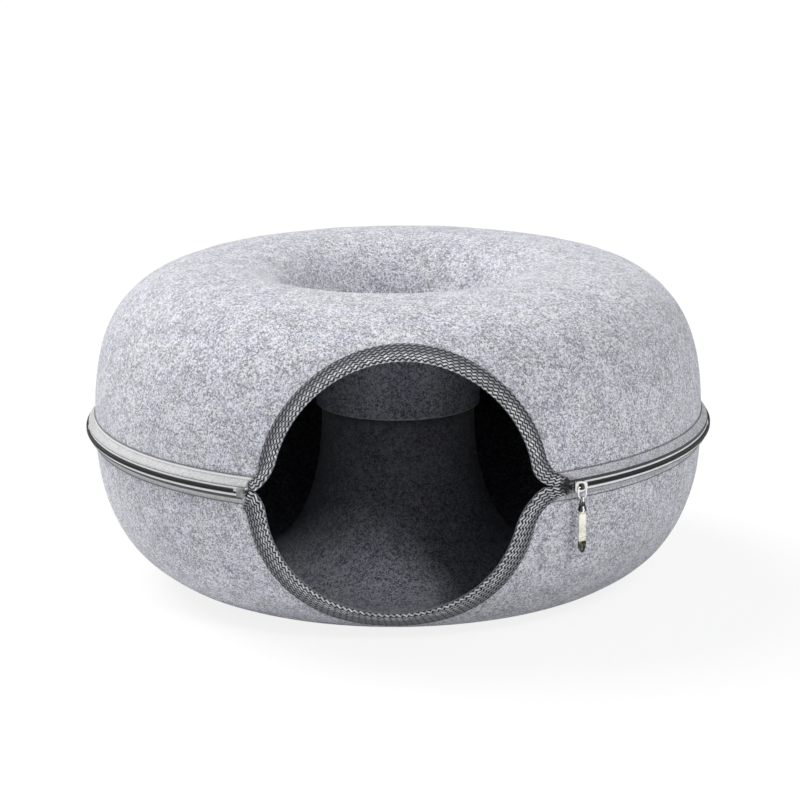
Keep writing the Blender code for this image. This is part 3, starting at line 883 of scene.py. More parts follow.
def zip_cloth(name, colours, thread_end, shadow_ends, hem_highlight_strength):
    """A tape that changes from one end to the other, in colours and in how wide its painted shadow line
    is.
    """
    material, tree, shader = new_material(
        name, Roughness=0.75, Sheen_Weight=0.2, Sheen_Roughness=0.4, Specular_IOR_Level=0.3
    )
    place = put(tree, "ShaderNodeTexCoord").outputs["Object"]
    on_tape = put(tree, "ShaderNodeUVMap").outputs["UV"]
    split = put(tree, "ShaderNodeSeparateXYZ", Vector=on_tape)
    along, across = split.outputs[0], split.outputs[1]
    fading = ranged(tree, along, *tape_change)

    def fading_from(first, last):
        """A number that changes from one value to another along the tape."""
        return maths(tree, "MULTIPLY_ADD", fading, last - first, first)

    def line(first, last):
        """A line between two distances from the tape's edge."""
        return use(tree, tape_line, Across=across, First=first, Last=last)["Mask"]

    weave = use(tree, plain_weave, Place=on_tape, Along=0.0011, Across=0.0008)
    fibres = use(
        tree,
        pressed_fibres,
        Place=place,
        Pale=mixed(tree, fading, colours[0][0], colours[1][0]),
        Deep=mixed(tree, fading, colours[0][1], colours[1][1]),
        Tint=(0.56, 0.56, 0.60),
        Fineness=1.1,
    )
    thread = line(thread_start, thread_end)
    # The dark line beside the white thread is a painted shadow, wider and darker at one end.
    dark_line = line(thread_end, fading_from(*shadow_ends))
    shadow = maths(tree, "MULTIPLY", dark_line, fading_from(*shadow_depths))
    # A thin painted shade where the tape's far edge meets the felt.
    edge = ranged(tree, across, edge_shade_line - line_softness, edge_shade_line + line_softness, 0.0, 0.6)
    # The hem is a real fold; its white line is a painted highlight that fades along the tape.
    hem = maths(tree, "MULTIPLY", line(*hem_highlight_line), hem_highlight_strength)
    beside_coil = ranged(tree, across, thread_start, thread_start - 2 * line_softness)
    # The weave's hollows are painted darker, as shade.
    weave_hollow_shade = ranged(tree, weave["Height"], 0.5, 0.0, 0.0, 0.3)
    # Painted shade in the corner beside the parked slider.
    corner = use(tree, round_patch, Place=place, Centre=corner_shade_centre, Strength=0.93)
    cloth = mixed(tree, weave_hollow_shade, fibres["Colour"], (0.3, 0.3, 0.31))
    cloth = mixed(tree, edge, cloth, (0.12, 0.12, 0.13))
    cloth = mixed(tree, shadow, cloth, (0.035, 0.035, 0.04))
    cloth = mixed(tree, maths(tree, "MULTIPLY", hem, fading), cloth, thread_and_highlight_white)
    cloth = mixed(tree, beside_coil, cloth, (0.03, 0.03, 0.032))
    cloth = mixed(tree, thread, cloth, thread_and_highlight_white)
    cloth = mixed(tree, corner["Mask"], cloth, (0.02, 0.02, 0.022))
    plug(tree, shader.inputs["Base Color"], cloth)
    high = maths(tree, "ADD", weave["Height"], maths(tree, "MULTIPLY_ADD", hem, 0.8, thread))
    raised(tree, shader, high, 0.00035, 0.6)
    return material


zip_tapes = {
    upper.name: zip_cloth("upper zip tape", (felt_like, paler_end), 0.0034, (0.0060, 0.0042), 0.9),
    lower.name: zip_cloth("lower zip tape", (paler_end, felt_like), 0.0040, (0.0098, 0.0052), 0.0),
}
print("materials:", [material.name for material in zip_tapes.values()])

# %% [markdown]
# ## Marks of use
#
# Everything that is handled carries the same two marks: smudges, which change the colour and the
# gloss a little, and a grain of fine scratches, which breaks up the highlight. One group makes both
# for the nylon, the thread, the plastic and the metals.

# %% Group: marks of use
marks_of_use, given, made = new_group(
    "marks of use",
    [
        ("Place", vector, None),
        ("Smudge Scale", number, 240.0),
        ("Smudge Start", number, 0.35),
        ("Grain Scale", number, 1800.0),
        ("Grain Detail", number, 4.0),
        ("Grain Roughness", number, 0.7),
    ],
    [("Smudge", number), ("Grain", number)],
)
tree = marks_of_use
smudges = cloudy(tree, given["Place"], given["Smudge Scale"])
grain_look = (given["Grain Scale"], given["Grain Detail"], given["Grain Roughness"])
plug(tree, made["Smudge"], ranged(tree, smudges, given["Smudge Start"], 0.7))
plug(tree, made["Grain"], cloudy(tree, given["Place"], *grain_look))
print("group:", marks_of_use.name)

# %% [markdown]
# ## Nylon, thread and plastic
#
# The coils are glossy black nylon, the stitches are a duller thread, and the box at the chain's end
# is grey plastic. They differ only in colour and gloss, so one function makes all three.

# %% Materials: nylon, thread and plastic
def nylon(name, base, pale, roughness):
    """A dull plastic or thread, paler and duller where it is smudged."""
    material, tree, shader = new_material(name, Specular_IOR_Level=0.5)
    marks = use(
        tree,
        marks_of_use,
        Place=put(tree, "ShaderNodeTexCoord").outputs["Object"],
        Smudge_Scale=260.0,
        Smudge_Start=0.4,
        Grain_Scale=2600.0,
        Grain_Detail=2.0,
        Grain_Roughness=0.55,
    )
    smudge = marks["Smudge"]
    plug(tree, shader.inputs["Base Color"], mixed(tree, smudge, base, pale))
    plug(tree, shader.inputs["Roughness"], maths(tree, "MULTIPLY_ADD", smudge, 0.15, roughness))
    raised(tree, shader, marks["Grain"], 0.00005, 0.3)
    return material


black_nylon = nylon("black nylon", (0.010, 0.010, 0.011), (0.022, 0.022, 0.025), 0.32)
dark_thread = nylon("dark thread", (0.035, 0.036, 0.042), (0.075, 0.077, 0.09), 0.6)
grey_plastic = nylon("grey plastic", (0.22, 0.22, 0.225), (0.34, 0.34, 0.345), 0.5)
print("materials:", black_nylon.name, dark_thread.name, grey_plastic.name)

# %% [markdown]
# ## Plated metal
#
# One function makes all the metals, and a shading function may add what is special to a piece. The
# slider has painted shade in the well under its crown, the tab's foot has a painted dark reflection,
# and the link has a painted highlight between its dark legs. These marks are placed by the imported
# pieces' own joints and boxes, so they stay on them.

# %% Helpers for the metals
crown_place = Vector(joints["ring_swing"]["pos_m"])
# Size of the painted shade in the well under the slider's crown.
crown_shade = 0.0034
crown_softness = 0.0006
tab_low, tab_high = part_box("pull_tab")
# Reach of the painted dark reflection on the pull's foot.
dark_reflection_length = 0.0105
dark_reflection_softness = 0.0003
link_highlight_width = (0.0009, 0.0006)


def plated(name, base, low, high, grain=1800.0, shading=None):
    """A metal whose smudges are a little darker, and rougher by the step from low to high."""
    material, tree, shader = new_material(name, Metallic=1.0)
    place = put(tree, "ShaderNodeTexCoord").outputs["Object"]
    marks = use(tree, marks_of_use, Place=place, Grain_Scale=grain)
    look = mixed(tree, marks["Smudge"], base, tuple(0.8 * value for value in base))
    if shading:
        look = shading(tree, place, look)
    plug(tree, shader.inputs["Base Color"], look)
    plug(tree, shader.inputs["Roughness"], maths(tree, "MULTIPLY_ADD", marks["Smudge"], high - low, low))
    raised(tree, shader, marks["Grain"], 0.00003, 0.25)
    return material


# Painted shade in the slider's well under its crown.
def shaded_crown(tree, place, look):
    """Painted shade in the well under the crown, where no light gets in."""
    well = use(
        tree,
        round_patch,
        Place=place,
        Centre=crown_place,
        Outer=crown_shade + crown_softness,
        Inner=crown_shade - crown_softness,
        Strength=0.93,
    )
    return mixed(tree, well["Mask"], look, (0.03, 0.03, 0.032))


# The pull's foot carries a painted dark reflection, and painted mottled reflections above it.
def painted_foot_reflection(tree, place, look):
    """A painted dark reflection on the pull's pointed foot, lighter in its middle, with painted mottled
    reflections above it.
    """
    rise = put(tree, "ShaderNodeSeparateXYZ", Vector=place).outputs[2]
    foot_top = tab_low.z + dark_reflection_length
    foot_mask = ranged(tree, rise, foot_top + dark_reflection_softness, foot_top - dark_reflection_softness)
    # The lighter patches within the foot's painted dark reflection.
    worn = ranged(tree, cloudy(tree, place, 420.0, detail=2.0), 0.45, 0.62)
    black = mixed(tree, worn, (0.035, 0.035, 0.03), (0.22, 0.22, 0.17))
    reflection_mottle = ranged(tree, cloudy(tree, place, 900.0, detail=2.0), 0.45, 0.58, 0.0, 0.6)
    towards_foot = ranged(tree, rise, tab_high.z - 0.010, tab_low.z + 0.014)
    look = mixed(tree, maths(tree, "MULTIPLY", reflection_mottle, towards_foot), look, (0.50, 0.50, 0.36))
    return mixed(tree, foot_mask, look, black)


# A painted highlight in the middle of the link.
def painted_link_highlight(tree, place, look):
    """A painted highlight between the link's two dark legs."""
    offset = put(tree, "ShaderNodeVectorMath", Vector=place)
    offset.operation = "SUBTRACT"
    offset.inputs[1].default_value = crown_place
    aside = put(tree, "ShaderNodeVectorMath", Vector=offset.outputs["Vector"])
    aside.operation = "DOT_PRODUCT"
    aside.inputs[1].default_value = Vector(joints["link_swing"]["axis"])
    # The painted highlight's width about the link's middle.
    middle = ranged(tree, maths(tree, "ABSOLUTE", aside.outputs["Value"]), *link_highlight_width)
    return mixed(tree, middle, look, (0.93, 0.93, 0.92))


print("pull tab, mm:", [round(1000 * side, 1) for side in tab_high - tab_low])

# %% [markdown]
# ## The metals
#
# The plated pieces are smooth and bright, the tab's plating a little yellow, as worn nickel is. The
# two dull metals are rougher and have a finer grain.

# %% Materials: the metals
bright_plating = plated("bright plating", (0.93, 0.93, 0.92), 0.10, 0.24)
slider_plating = plated("slider plating", (0.90, 0.90, 0.89), 0.10, 0.24, shading=shaded_crown)
dark_plating = plated("dark plating", (0.07, 0.07, 0.075), 0.12, 0.26, shading=painted_link_highlight)
pull_plating = plated("pull plating", (0.90, 0.88, 0.77), 0.12, 0.26, shading=painted_foot_reflection)
satin_metal = plated("satin metal", (0.62, 0.62, 0.63), 0.30, 0.48, grain=2600.0)
# A near-black metal for the stops, as painted shade.
shade_black_metal = plated("shade black metal", (0.12, 0.12, 0.125), 0.34, 0.50, grain=2600.0)
print("plated metals:", bright_plating.name, slider_plating.name, dark_plating.name, pull_plating.name)
print("dull metals:", satin_metal.name, shade_black_metal.name)

# %% [markdown]
# ## The felt shells
#
# Each half is one pressed piece, so it is turned as one open section and then given its 5 mm wall
# inwards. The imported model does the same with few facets. Here the turn has many steps, and the
# skin gets a slight unevenness, as pressed felt has, that fades out where the zip, the binding and
# the collar need a true surface.

# %% Where the skin may be uneven
zip_calm = (0.022, 0.055)
neck_calm = (0.004, 0.035)
mouth_calm = (0.004, 0.04)
foot_calm = (-0.02, -0.004)


def fade(value, start, end):
    """0 before start and 1 after end, with a smooth change between."""
    share = max(0.0, min(1.0, (value - start) / (end - start)))
    return share * share * (3 - 2 * share)


def faded(value, base, span):
    """The same, with the start and the end counted from a base."""
    return fade(value, base + span[0], base + span[1])


def ease(half, point):
    """How much unevenness a point of the skin may have, from 0 to 1."""
    place = point - hub
    height = abs(place.z)
    radius = hypot(place.x, place.y)
    share = fade(height, *zip_calm) * faded(radius, half.neck_radius, neck_calm)
    if place.y < 0:
        beside = hypot(place.x - half.mouth_shift, height - half.mouth_rise) - half.mouth_radius
        share *= faded(beside, half.band_width, mouth_calm)
    if half.flat_depth:
        share *= 1 - faded(height, half.crest_height, foot_calm)
    return share


shoulder = at(rim_radius, pi, upper.crest_height / 2)
print("share of unevenness at the back of the shoulder:", round(ease(upper, shoulder), 2))

# %% [markdown]
# ## Turning the felt
#
# Spin turns the section once round and merges its ends. A Screw modifier would turn it too, but the
# unevenness needs points that are really there. The faces may come out either way round, so the
# widest one is asked which way it looks before the wall is given inwards. Two smooth noises, waves
# and smaller ripples, then push the skin along its normals.

# %% Turn the felt shells and press the unevenness in
around_steps = 256
weld_distance = 0.00005
uneven = 0.0009
wave_scale = 11.0
ripple_scale = 27.0
ripple_share = 0.45
edge_softness = 0.0011


def turned_skin(half):
    """A half's section turned once round the axis, its faces outwards, with its unevenness."""
    bm = bmesh.new()
    verts = [bm.verts.new(at(radius, 0.0, half.side * height)) for radius, height in wall_section(half)]
    edges = [bm.edges.new(pair) for pair in zip(verts, verts[1:])]
    bmesh.ops.spin(
        bm,
        geom=verts + edges,
        cent=hub,
        axis=upright,
        angle=2 * pi,
        steps=around_steps,
        use_merge=True,
    )
    bmesh.ops.remove_doubles(bm, verts=bm.verts, dist=weld_distance)
    bmesh.ops.recalc_face_normals(bm, faces=bm.faces)
    bm.normal_update()
    widest = max(bm.faces, key=lambda face: (face.calc_center_median() - hub).xy.length)
    if widest.normal.dot(widest.calc_center_median() - hub) < 0:
        bmesh.ops.reverse_faces(bm, faces=bm.faces)
        bm.normal_update()
    for vert in bm.verts:
        push = noise.noise(vert.co * wave_scale) + ripple_share * noise.noise(vert.co * ripple_scale)
        vert.co += vert.normal * uneven * push * ease(half, vert.co)
    return bm


skins = {half.name: object_from(turned_skin(half), f"{half.name}_felt") for half in halves}
for skin in skins.values():
    wall(skin, felt_thickness, -1.0)
    soften = skin.modifiers.new("Soft edges", "BEVEL")
    soften.width = edge_softness
    soften.segments = 3
    soften.limit_method = "ANGLE"
    soften.angle_limit = radians(60)
print("skins:", [len(skin.data.polygons) for skin in skins.values()])

# %% [markdown]
# ## The mouth's cut
#
# Planes can cut the wall only straight, so a boolean takes the mouth out. Its block has the mouth's
# outline and goes through the front wall only, not through the collars behind it. The cut is a
# little wider than the binding's fold, so that it is hidden under the tape. Each face then gets the
# outer or the inner felt, by whether it looks into the tunnel.

# %% Cut the mouth and dress the shells
cut_inset = 0.0034
front_reach = 0.34
front_depth = (rim_radius + upper.crest_radius) / 2
overrun = 0.03


def mouth_cutter(half):
    """A block with the mouth's outline, through the front wall only."""
    right, crown, left = fold_stretches(half, cut_inset, overrun)
    outline = right + crown[1:] + left[1:]
    outline += [(outline[-1][0], -overrun), (outline[0][0], -overrun)]
    bm = bmesh.new()
    verts = [bm.verts.new(hub + Vector((x, -front_reach, half.side * z))) for x, z in outline]
    face = bm.faces.new(verts)
    grown = bmesh.ops.extrude_face_region(bm, geom=[face])["geom"]
    moved = [item for item in grown if isinstance(item, bmesh.types.BMVert)]
    bmesh.ops.translate(bm, vec=(0, front_reach - front_depth, 0), verts=moved)
    bmesh.ops.recalc_face_normals(bm, faces=bm.faces)
    return object_from(bm, f"{half.name}_mouth_cutter")


def settle(piece):
    """Applies the piece's modifiers, so that a cutter can go away."""
    bpy.context.view_layer.update()
    graph = bpy.context.evaluated_depsgraph_get()
    mesh = bpy.data.meshes.new_from_object(piece.evaluated_get(graph))
    piece.modifiers.clear()
    piece.data = mesh
    mesh.name = piece.name


def looks_in(face, half):
    """Whether a face of the shell looks into the tunnel, towards the middle of the ring."""
    place = face.center - hub
    ring_middle = (rim_radius + half.neck_radius) / 2
    flat = Vector((place.x, place.y, 0))
    outward = flat.normalized() * (flat.length - ring_middle) + Vector((0, 0, place.z))
    return face.normal.dot(outward) < 0


for half in halves:
    skin = skins[half.name]
    cutter = mouth_cutter(half)
    cut = skin.modifiers.new("Mouth", "BOOLEAN")
    cut.operation = "DIFFERENCE"
    cut.solver = "EXACT"
    cut.object = cutter
    settle(skin)
    bpy.data.objects.remove(cutter, do_unlink=True)
    skin.data.materials.clear()
    skin.data.materials.append(outer_felt)
    skin.data.materials.append(shaded_inner_felts[half.name])
    for face in skin.data.polygons:
        face.material_index = int(looks_in(face, half))
    skin.data.shade_smooth()
    skin.data.set_sharp_from_angle(angle=radians(50))
    seat(skin, "tunnel", [f"{half.name}_shell"])

# %% [markdown]
# ## The folded binding
#
# The binding lies on the felt: over the outside, round the cut edge and back along the inside. A
# station is one place along the mouth, and its row of points runs across the tape in that order.
# Bending a flat strip with modifiers would stretch it over the double curve of the wall.

# %% The binding's place on the felt
binding_thickness = 0.0012
tape_centre = fit_gap + binding_thickness / 2
fold_depth = 0.0030
fold_share = 0.42
outside_rows = 14
bend_rows = 12
inside_rows = 8


def tape_stations(half):
    """For each step along the mouth: the fold, the direction across the tape and its width."""
    fold = fold_lines[half.name]
    band = band_lines[half.name]
    across = band - fold
    width = np.hypot(across[:, 0], across[:, 1])
    return fold, across / width[:, None], width, run_along((fold + band) / 2)


def tape_row(half, fold, across, width):
    """The points of one station, from the far edge outside, round the fold, to the far edge inside."""
    depth = min(fold_depth, fold_share * width)
    out, back = tape_centre, -felt_thickness - tape_centre

    def spot(offset, inset):
        x, z = fold + across * inset
        return on_front(half, offset, x, max(0.0, z))

    points = [spot(out, inset) for inset in np.linspace(width, depth, outside_rows)]
    near, far = spot(out, depth), spot(back, depth)
    bulge = (spot(out, 0.0) + spot(back, 0.0) - near - far) / 2
    for turn in np.linspace(0.0, pi, bend_rows + 2)[1:-1]:
        points.append((near + far) / 2 + (near - far) / 2 * cos(turn) + bulge * sin(turn))
    points += [spot(back, inset) for inset in np.linspace(depth, width, inside_rows)]
    return points


print("rows across the tape:", outside_rows + bend_rows + inside_rows)

# %% [markdown]
# ## Laying the tape
#
# The tape starts flat, as a grid with one direction along the mouth and the other across the tape.
# Each point of the grid knows its station and its row. They give its place on the flat tape in
# metres, for the UV map, so the herringbone follows the fold, and then its place on the felt.

# %% Lay the binding over the mouth's edge
def folded_binding(half):
    """The tape on the felt, with its length along the mouth and its unfolded width."""
    fold, across, width, run = tape_stations(half)
    rows = [tape_row(half, *station) for station in zip(fold, across, width)]
    last = len(rows) - 1
    wide = len(rows[0]) - 1
    apex = outside_rows + bend_rows // 2
    bm = bmesh.new()
    bmesh.ops.create_grid(bm, x_segments=last, y_segments=wide, size=0.5)
    uv = bm.loops.layers.uv.new("Tape")
    steps = {}
    for vert in bm.verts:
        steps[vert] = (round((vert.co.x + 0.5) * last), round((vert.co.y + 0.5) * wide))
    spans = []
    for points in rows:
        total = run_along(points)
        spans.append(total[apex] - total)
    for face in bm.faces:
        for loop in face.loops:
            i, j = steps[loop.vert]
            loop[uv].uv = (run[i], abs(spans[i][j]))
    for vert, (i, j) in steps.items():
        vert.co = rows[i][j]
    bmesh.ops.recalc_face_normals(bm, faces=bm.faces)
    return bm, run[-1], float(np.median([abs(s[0]) + abs(s[-1]) for s in spans]))


for half in halves:
    bm, length, width = folded_binding(half)
    tape = object_from(bm, f"{half.name}_binding_tape", crease=60)
    tape.data.materials.append(binding_tape)
    wall(tape, binding_thickness, 0.0)
    seat(tape, "tunnel", [f"{half.name}_mouth_binding"])
    print(f"{tape.name}: {1000 * length:.0f} mm along the mouth, {1000 * width:.0f} mm unfolded")

# %% [markdown]
# ## The zip's tapes
#
# A tape leaves the coil upright, bends in to the felt and is sewn down there. It runs from the
# mouth's right corner to its left one, and at each height it ends beside the binding's far edge.

# %% Where the zip tapes run
chain_radius = 0.2996
tape_thickness = 0.0006
end_gap = 2 * fit_gap
landing_radius = rim_radius + fit_gap
zip_start = asin((mouth_right_end + end_gap) / landing_radius)
zip_end = 2 * pi - asin((mouth_left_end + end_gap) / landing_radius)
bend_start = 0.0048
bend_end = 0.0101


def tape_radius(half, height):
    """The middle of the tape's thickness at a height over the zip."""
    standing = chain_radius - tape_thickness / 2
    lying = radius_at(half, fit_gap + tape_thickness / 2, height)
    return standing + (lying - standing) * fade(height, bend_start, bend_end)


def end_place(half, height, right):
    """The point at a height where the tape's end is sewn down, beside the binding's far edge."""
    line = band_lines[half.name]
    foot_line = line[: stretch_counts[0]] if right else line[::-1][: stretch_counts[2]]
    reach = float(np.interp(height, foot_line[:, 1], abs(foot_line[:, 0])))
    if not right and height < half.band_tail:
        reach = mouth_left_end + half.left_lean * height / half.band_tail
    radius = radius_at(half, fit_gap + tape_thickness / 2, height)
    angle = asin((reach + end_gap) / radius)
    return at(radius, angle if right else 2 * pi - angle, half.side * height)


print("the zip runs, degrees:", [round(value * 180 / pi, 1) for value in (zip_start, zip_end)])

# %% [markdown]
# ## Turning the zip's tapes
#
# A tape's section is the same all the way round, so it is spun like the shells. At the mouth's left
# foot the binding leans, so the tape is turned back there by as much, and both ends are drawn in to
# the felt. V is counted from the edge beside the coil, because the white thread and the dark line
# of the finish follow that edge.

# %% Turn the zip tapes
zip_steps = 420
tape_rows = 22
edge_height = 0.00025
hem_height = 0.0135
slant_reach = 0.06


def tuck_in(bm, half, column, right):
    """Draws a tape's end in to the felt, so that no gap is left between the zip and the binding."""
    grown = bmesh.ops.extrude_edge_only(bm, edges=column)["geom"]
    for vert in [item for item in grown if isinstance(item, bmesh.types.BMVert)]:
        vert.co = end_place(half, abs(vert.co.z - hub.z), right)


def zip_tape_strip(half):
    """The tape's section turned along the zip, slanted to the mouth's left foot, and its width."""
    heights = np.linspace(edge_height, hem_height, tape_rows)
    bm = bmesh.new()
    verts = [bm.verts.new(at(tape_radius(half, h), zip_start, half.side * h)) for h in heights]
    first = [bm.edges.new(pair) for pair in zip(verts, verts[1:])]
    spun = bmesh.ops.spin(
        bm, geom=verts + first, cent=hub, axis=upright, angle=zip_end - zip_start, steps=zip_steps
    )
    last = [item for item in spun["geom_last"] if isinstance(item, bmesh.types.BMEdge)]
    for vert in bm.verts:
        angle = angle_of(vert.co)
        spare = zip_end - angle_of(end_place(half, abs(vert.co.z - hub.z), False))
        turn = max(0.0, spare) * fade(angle, zip_end - slant_reach, zip_end)
        vert.co = hub + Matrix.Rotation(-turn, 3, upright) @ (vert.co - hub)
    tuck_in(bm, half, first, True)
    tuck_in(bm, half, last, False)
    bmesh.ops.recalc_face_normals(bm, faces=bm.faces)
    run = run_along([(tape_radius(half, h), h) for h in heights])
    uv = bm.loops.layers.uv.new("Tape")
    for face in bm.faces:
        for loop in face.loops:
            place = loop.vert.co
            angle = angle_of(place) if half is upper else 2 * pi - angle_of(place)
            loop[uv].uv = (angle * chain_radius, float(np.interp(abs(place.z - hub.z), heights, run)))
    return bm, float(run[-1])


for half in halves:
    bm, width = zip_tape_strip(half)
    tape = object_from(bm, f"{half.name}_zip_cloth")
    tape.data.materials.append(zip_tapes[half.name])
    wall(tape, tape_thickness, 0.0)
    seat(tape, "tunnel", [f"{half.name}_zip_tape"])
    length = (zip_end - zip_start) * chain_radius
    print(f"{tape.name}: {1000 * length:.0f} by {1000 * width:.1f} mm")

# %% [markdown]
# ## The coils
#
# Each row of this zip is one nylon wire wound into about a thousand turns. A turn is a small tilted
# ring, and spin with use_duplicate sets the copies round the axis. A true helix curve looks the
# same from a step away, but its mesh is far heavier.

# %% Copies round the axis
def copy_round(first, count, angle):
    """Sets copies of a shape round the axis. What is there is doubled until it's enough."""
    bm = first.copy()
    first.free()
    sizes = [len(items) for items in (bm.verts, bm.edges, bm.faces)]
    have = 1
    while have < count:
        more = min(have, count - have)
        taken = [items[: more * size] for items, size in zip((bm.verts, bm.edges, bm.faces), sizes)]
        bmesh.ops.spin(
            bm,
            geom=taken[0] + taken[1] + taken[2],
            cent=hub,
            axis=upright,
            angle=have * angle,
            steps=1,
            use_duplicate=True,
        )
        have += more
    return bm


print("copy helper ready")

# %% [markdown]
# ## One turn, then a thousand
#
# A ring is a small circle spun round, with only sixty faces, because it is repeated so often. The
# lower row starts half a pitch later, so that its turns reach in between those of the upper row, as
# they do in a closed zip, and no light comes through the chain. The upper row ends at the insert
# pin and the lower one at the tape's end, inside the box.

# %% Wind the coils
coil_pitch = 0.00145
wire_radius = 0.00036
turn_radius = 0.00064
coil_half_depth = 0.0011
coil_radius = chain_radius + fit_gap + coil_half_depth
coil_height = 0.00095
coil_tilt = radians(24)
coil_angle = coil_pitch / coil_radius
coil_weld = 0.00002
wire_sides = 6
turn_steps = 10


def coil_row(half, start, end):
    """One row of turns between two angles, and how many they are."""
    turns = int((end - start) / coil_angle)
    bm = bmesh.new()
    bmesh.ops.create_circle(bm, segments=wire_sides, radius=wire_radius)
    bmesh.ops.translate(bm, vec=(turn_radius, 0, 0), verts=bm.verts)
    bmesh.ops.spin(
        bm,
        geom=bm.verts[:] + bm.edges[:],
        cent=(0, 0, 0),
        axis=(0, 1, 0),
        angle=2 * pi,
        steps=turn_steps,
        use_merge=True,
    )
    bmesh.ops.remove_doubles(bm, verts=bm.verts, dist=coil_weld)
    bmesh.ops.recalc_face_normals(bm, faces=bm.faces)
    tilt = Matrix.Rotation(half.side * coil_tilt, 4, "Y")
    lay = Matrix.Rotation(pi / 2, 4, "Z")
    first_angle = start if half is upper else start + coil_angle / 2
    turn = Matrix.Rotation(first_angle, 4, "Z")
    place = Matrix.Translation(at(coil_radius, first_angle, half.side * coil_height))
    bmesh.ops.transform(bm, matrix=place @ turn @ tilt @ lay, verts=bm.verts)
    return copy_round(bm, turns, coil_angle), turns


stop_length = 0.0020
box_length = 0.0065
pin_length = 0.0040
chain_face = coil_radius + coil_half_depth
stop_angle = stop_length / chain_face
gap_angle = fit_gap / coil_radius
box_start = zip_end - box_length / chain_face
pin_start = box_start - pin_length / chain_face
coil_start = zip_start + stop_angle + 2 * gap_angle + wire_radius / coil_radius
for half, end in ((upper, pin_start - 3 * gap_angle), (lower, zip_end - 5 * gap_angle)):
    bm, turns = coil_row(half, coil_start, end)
    row = object_from(bm, f"{half.name}_coil_turns", crease=80)
    row.data.materials.append(black_nylon)
    seat(row, "tunnel", [f"{half.name}_zip_coil"])
    print(f"{row.name}: {turns} turns")

# %% [markdown]
# ## Stitches
#
# The tapes are sewn to the felt with dark thread, one short stitch after another. Stitches could be
# drawn in the cloth's finish, but real thread stands out of it and has its own gloss. A stitch is a
# small stretched ball with forty-eight faces. Along the zip the copies are spun round the axis, as
# the coil's turns are.

# %% Sew the zip tapes down
stitch_pitch = 0.0037
stitch_half = 0.00125
stitch_radius = 0.00030
stitch_lift = 0.0001
seam_height = 0.0132
seam_end_angle = 0.004


def one_stitch(bm, matrix):
    """Adds a stitch whose length is the matrix's Z."""
    made = bmesh.ops.create_uvsphere(bm, u_segments=8, v_segments=6, radius=1.0)
    bmesh.ops.scale(bm, vec=(stitch_radius, stitch_radius, stitch_half), verts=made["verts"])
    bmesh.ops.transform(bm, matrix=matrix, verts=made["verts"])


def turned_to(along, outward, place):
    """A matrix whose Z lies along the seam and whose X looks out of the cloth."""
    along = along.normalized()
    side = along.cross(outward).normalized()
    outward = side.cross(along)
    matrix = Matrix((outward, side, along)).transposed().to_4x4()
    matrix.translation = place
    return matrix


def zip_seam(half):
    """The seam that holds a zip tape, one stitch copied round the axis."""
    bm = bmesh.new()
    skin_radius = radius_at(half, fit_gap + tape_thickness, seam_height) + stitch_lift
    start = zip_start + seam_end_angle
    steps = int((zip_end - zip_start - 2 * seam_end_angle) * skin_radius / stitch_pitch)
    along = Vector((cos(start), sin(start), 0))
    outward = Vector((sin(start), -cos(start), 0))
    one_stitch(bm, turned_to(along, outward, at(skin_radius, start, half.side * seam_height)))
    return copy_round(bm, steps, stitch_pitch / skin_radius)


for half in halves:
    seam = object_from(zip_seam(half), f"{half.name}_zip_seam")
    seam.data.materials.append(dark_thread)
    seat(seam, "tunnel")

# %% [markdown]
# ## The binding's seam
#
# This seam follows the arch, a little inside the tape's far edge, so each stitch is placed with its
# own matrix. At the mouth's corners the tape is too narrow to be sewn, and the seam stops there.

# %% Sew the binding down
seam_inset = 0.0016
narrowest_sewn = 0.008
outward_step = 0.001


def binding_seam(half):
    """The seam along the binding's far edge, where the tape is wide enough to be sewn."""
    bm = bmesh.new()
    lift = tape_centre + binding_thickness / 2 + stitch_lift
    spots = []
    for start, direction, wide in zip(*tape_stations(half)[:3]):
        if wide > narrowest_sewn:
            x, z = start + direction * (wide - seam_inset)
            spots.append((on_front(half, lift, x, z), on_front(half, lift + outward_step, x, z)))
    run = run_along([spot[0] for spot in spots])
    count = int(run[-1] / stitch_pitch)
    for i in range(1, count):
        k = int(np.searchsorted(run, i * stitch_pitch))
        share = (i * stitch_pitch - run[k - 1]) / (run[k] - run[k - 1])
        place = spots[k - 1][0].lerp(spots[k][0], share)
        one_stitch(bm, turned_to(spots[k][0] - spots[k - 1][0], spots[k][1] - spots[k][0], place))
    return bm


for half in halves:
    seam = object_from(binding_seam(half), f"{half.name}_binding_seam")
    seam.data.materials.append(dark_thread)
    seat(seam, "tunnel")

# %% [markdown]
# ## Metal and hard pieces
#
# The slider, the ring, the link and the tab already have their true shape in the imported model, so
# they only change their finish: bright plating on the slider, the ring, the rivet and the tab, whose
# foot has a painted dark reflection, dark plating with a painted highlight in the middle of the link,
# satin on the insert pin, a near-black metal on the stops as painted shade, and grey plastic for the
# box at the left end of the chain.

# %% Dress the imported metal pieces
finishes = {
    "slider_body": slider_plating,
    "pull_ring": bright_plating,
    "pull_link": dark_plating,
    "link_pin": bright_plating,
    "pull_tab": pull_plating,
    "upper_top_stop": shade_black_metal,
    "lower_top_stop": shade_black_metal,
    "insert_pin": satin_metal,
    "retainer_box": grey_plastic,
}
for name, finish in finishes.items():
    for slot in frame["nodes"][name].material_slots:
        slot.material = finish
    print(f"{name}: {finish.name}")

# %% [markdown]
# ## The floor
#
# The product stands on white. Turning up lamps until the floor burns out would burn the felt too,
# so the floor is partly a plain white glow for the camera and for reflections, and partly a real
# surface that takes the shadow. Its pale bounce lights the low walls from below, as a real studio
# floor does.

# %% Floor
def seen_directly(tree):
    """1 for rays from the camera and its reflections, 0 for the light that bounces."""
    rays = tree.nodes.new("ShaderNodeLightPath").outputs
    glossy = maths(tree, "MAXIMUM", rays["Is Camera Ray"], rays["Is Glossy Ray"])
    return maths(tree, "MAXIMUM", glossy, rays["Is Transmission Ray"])


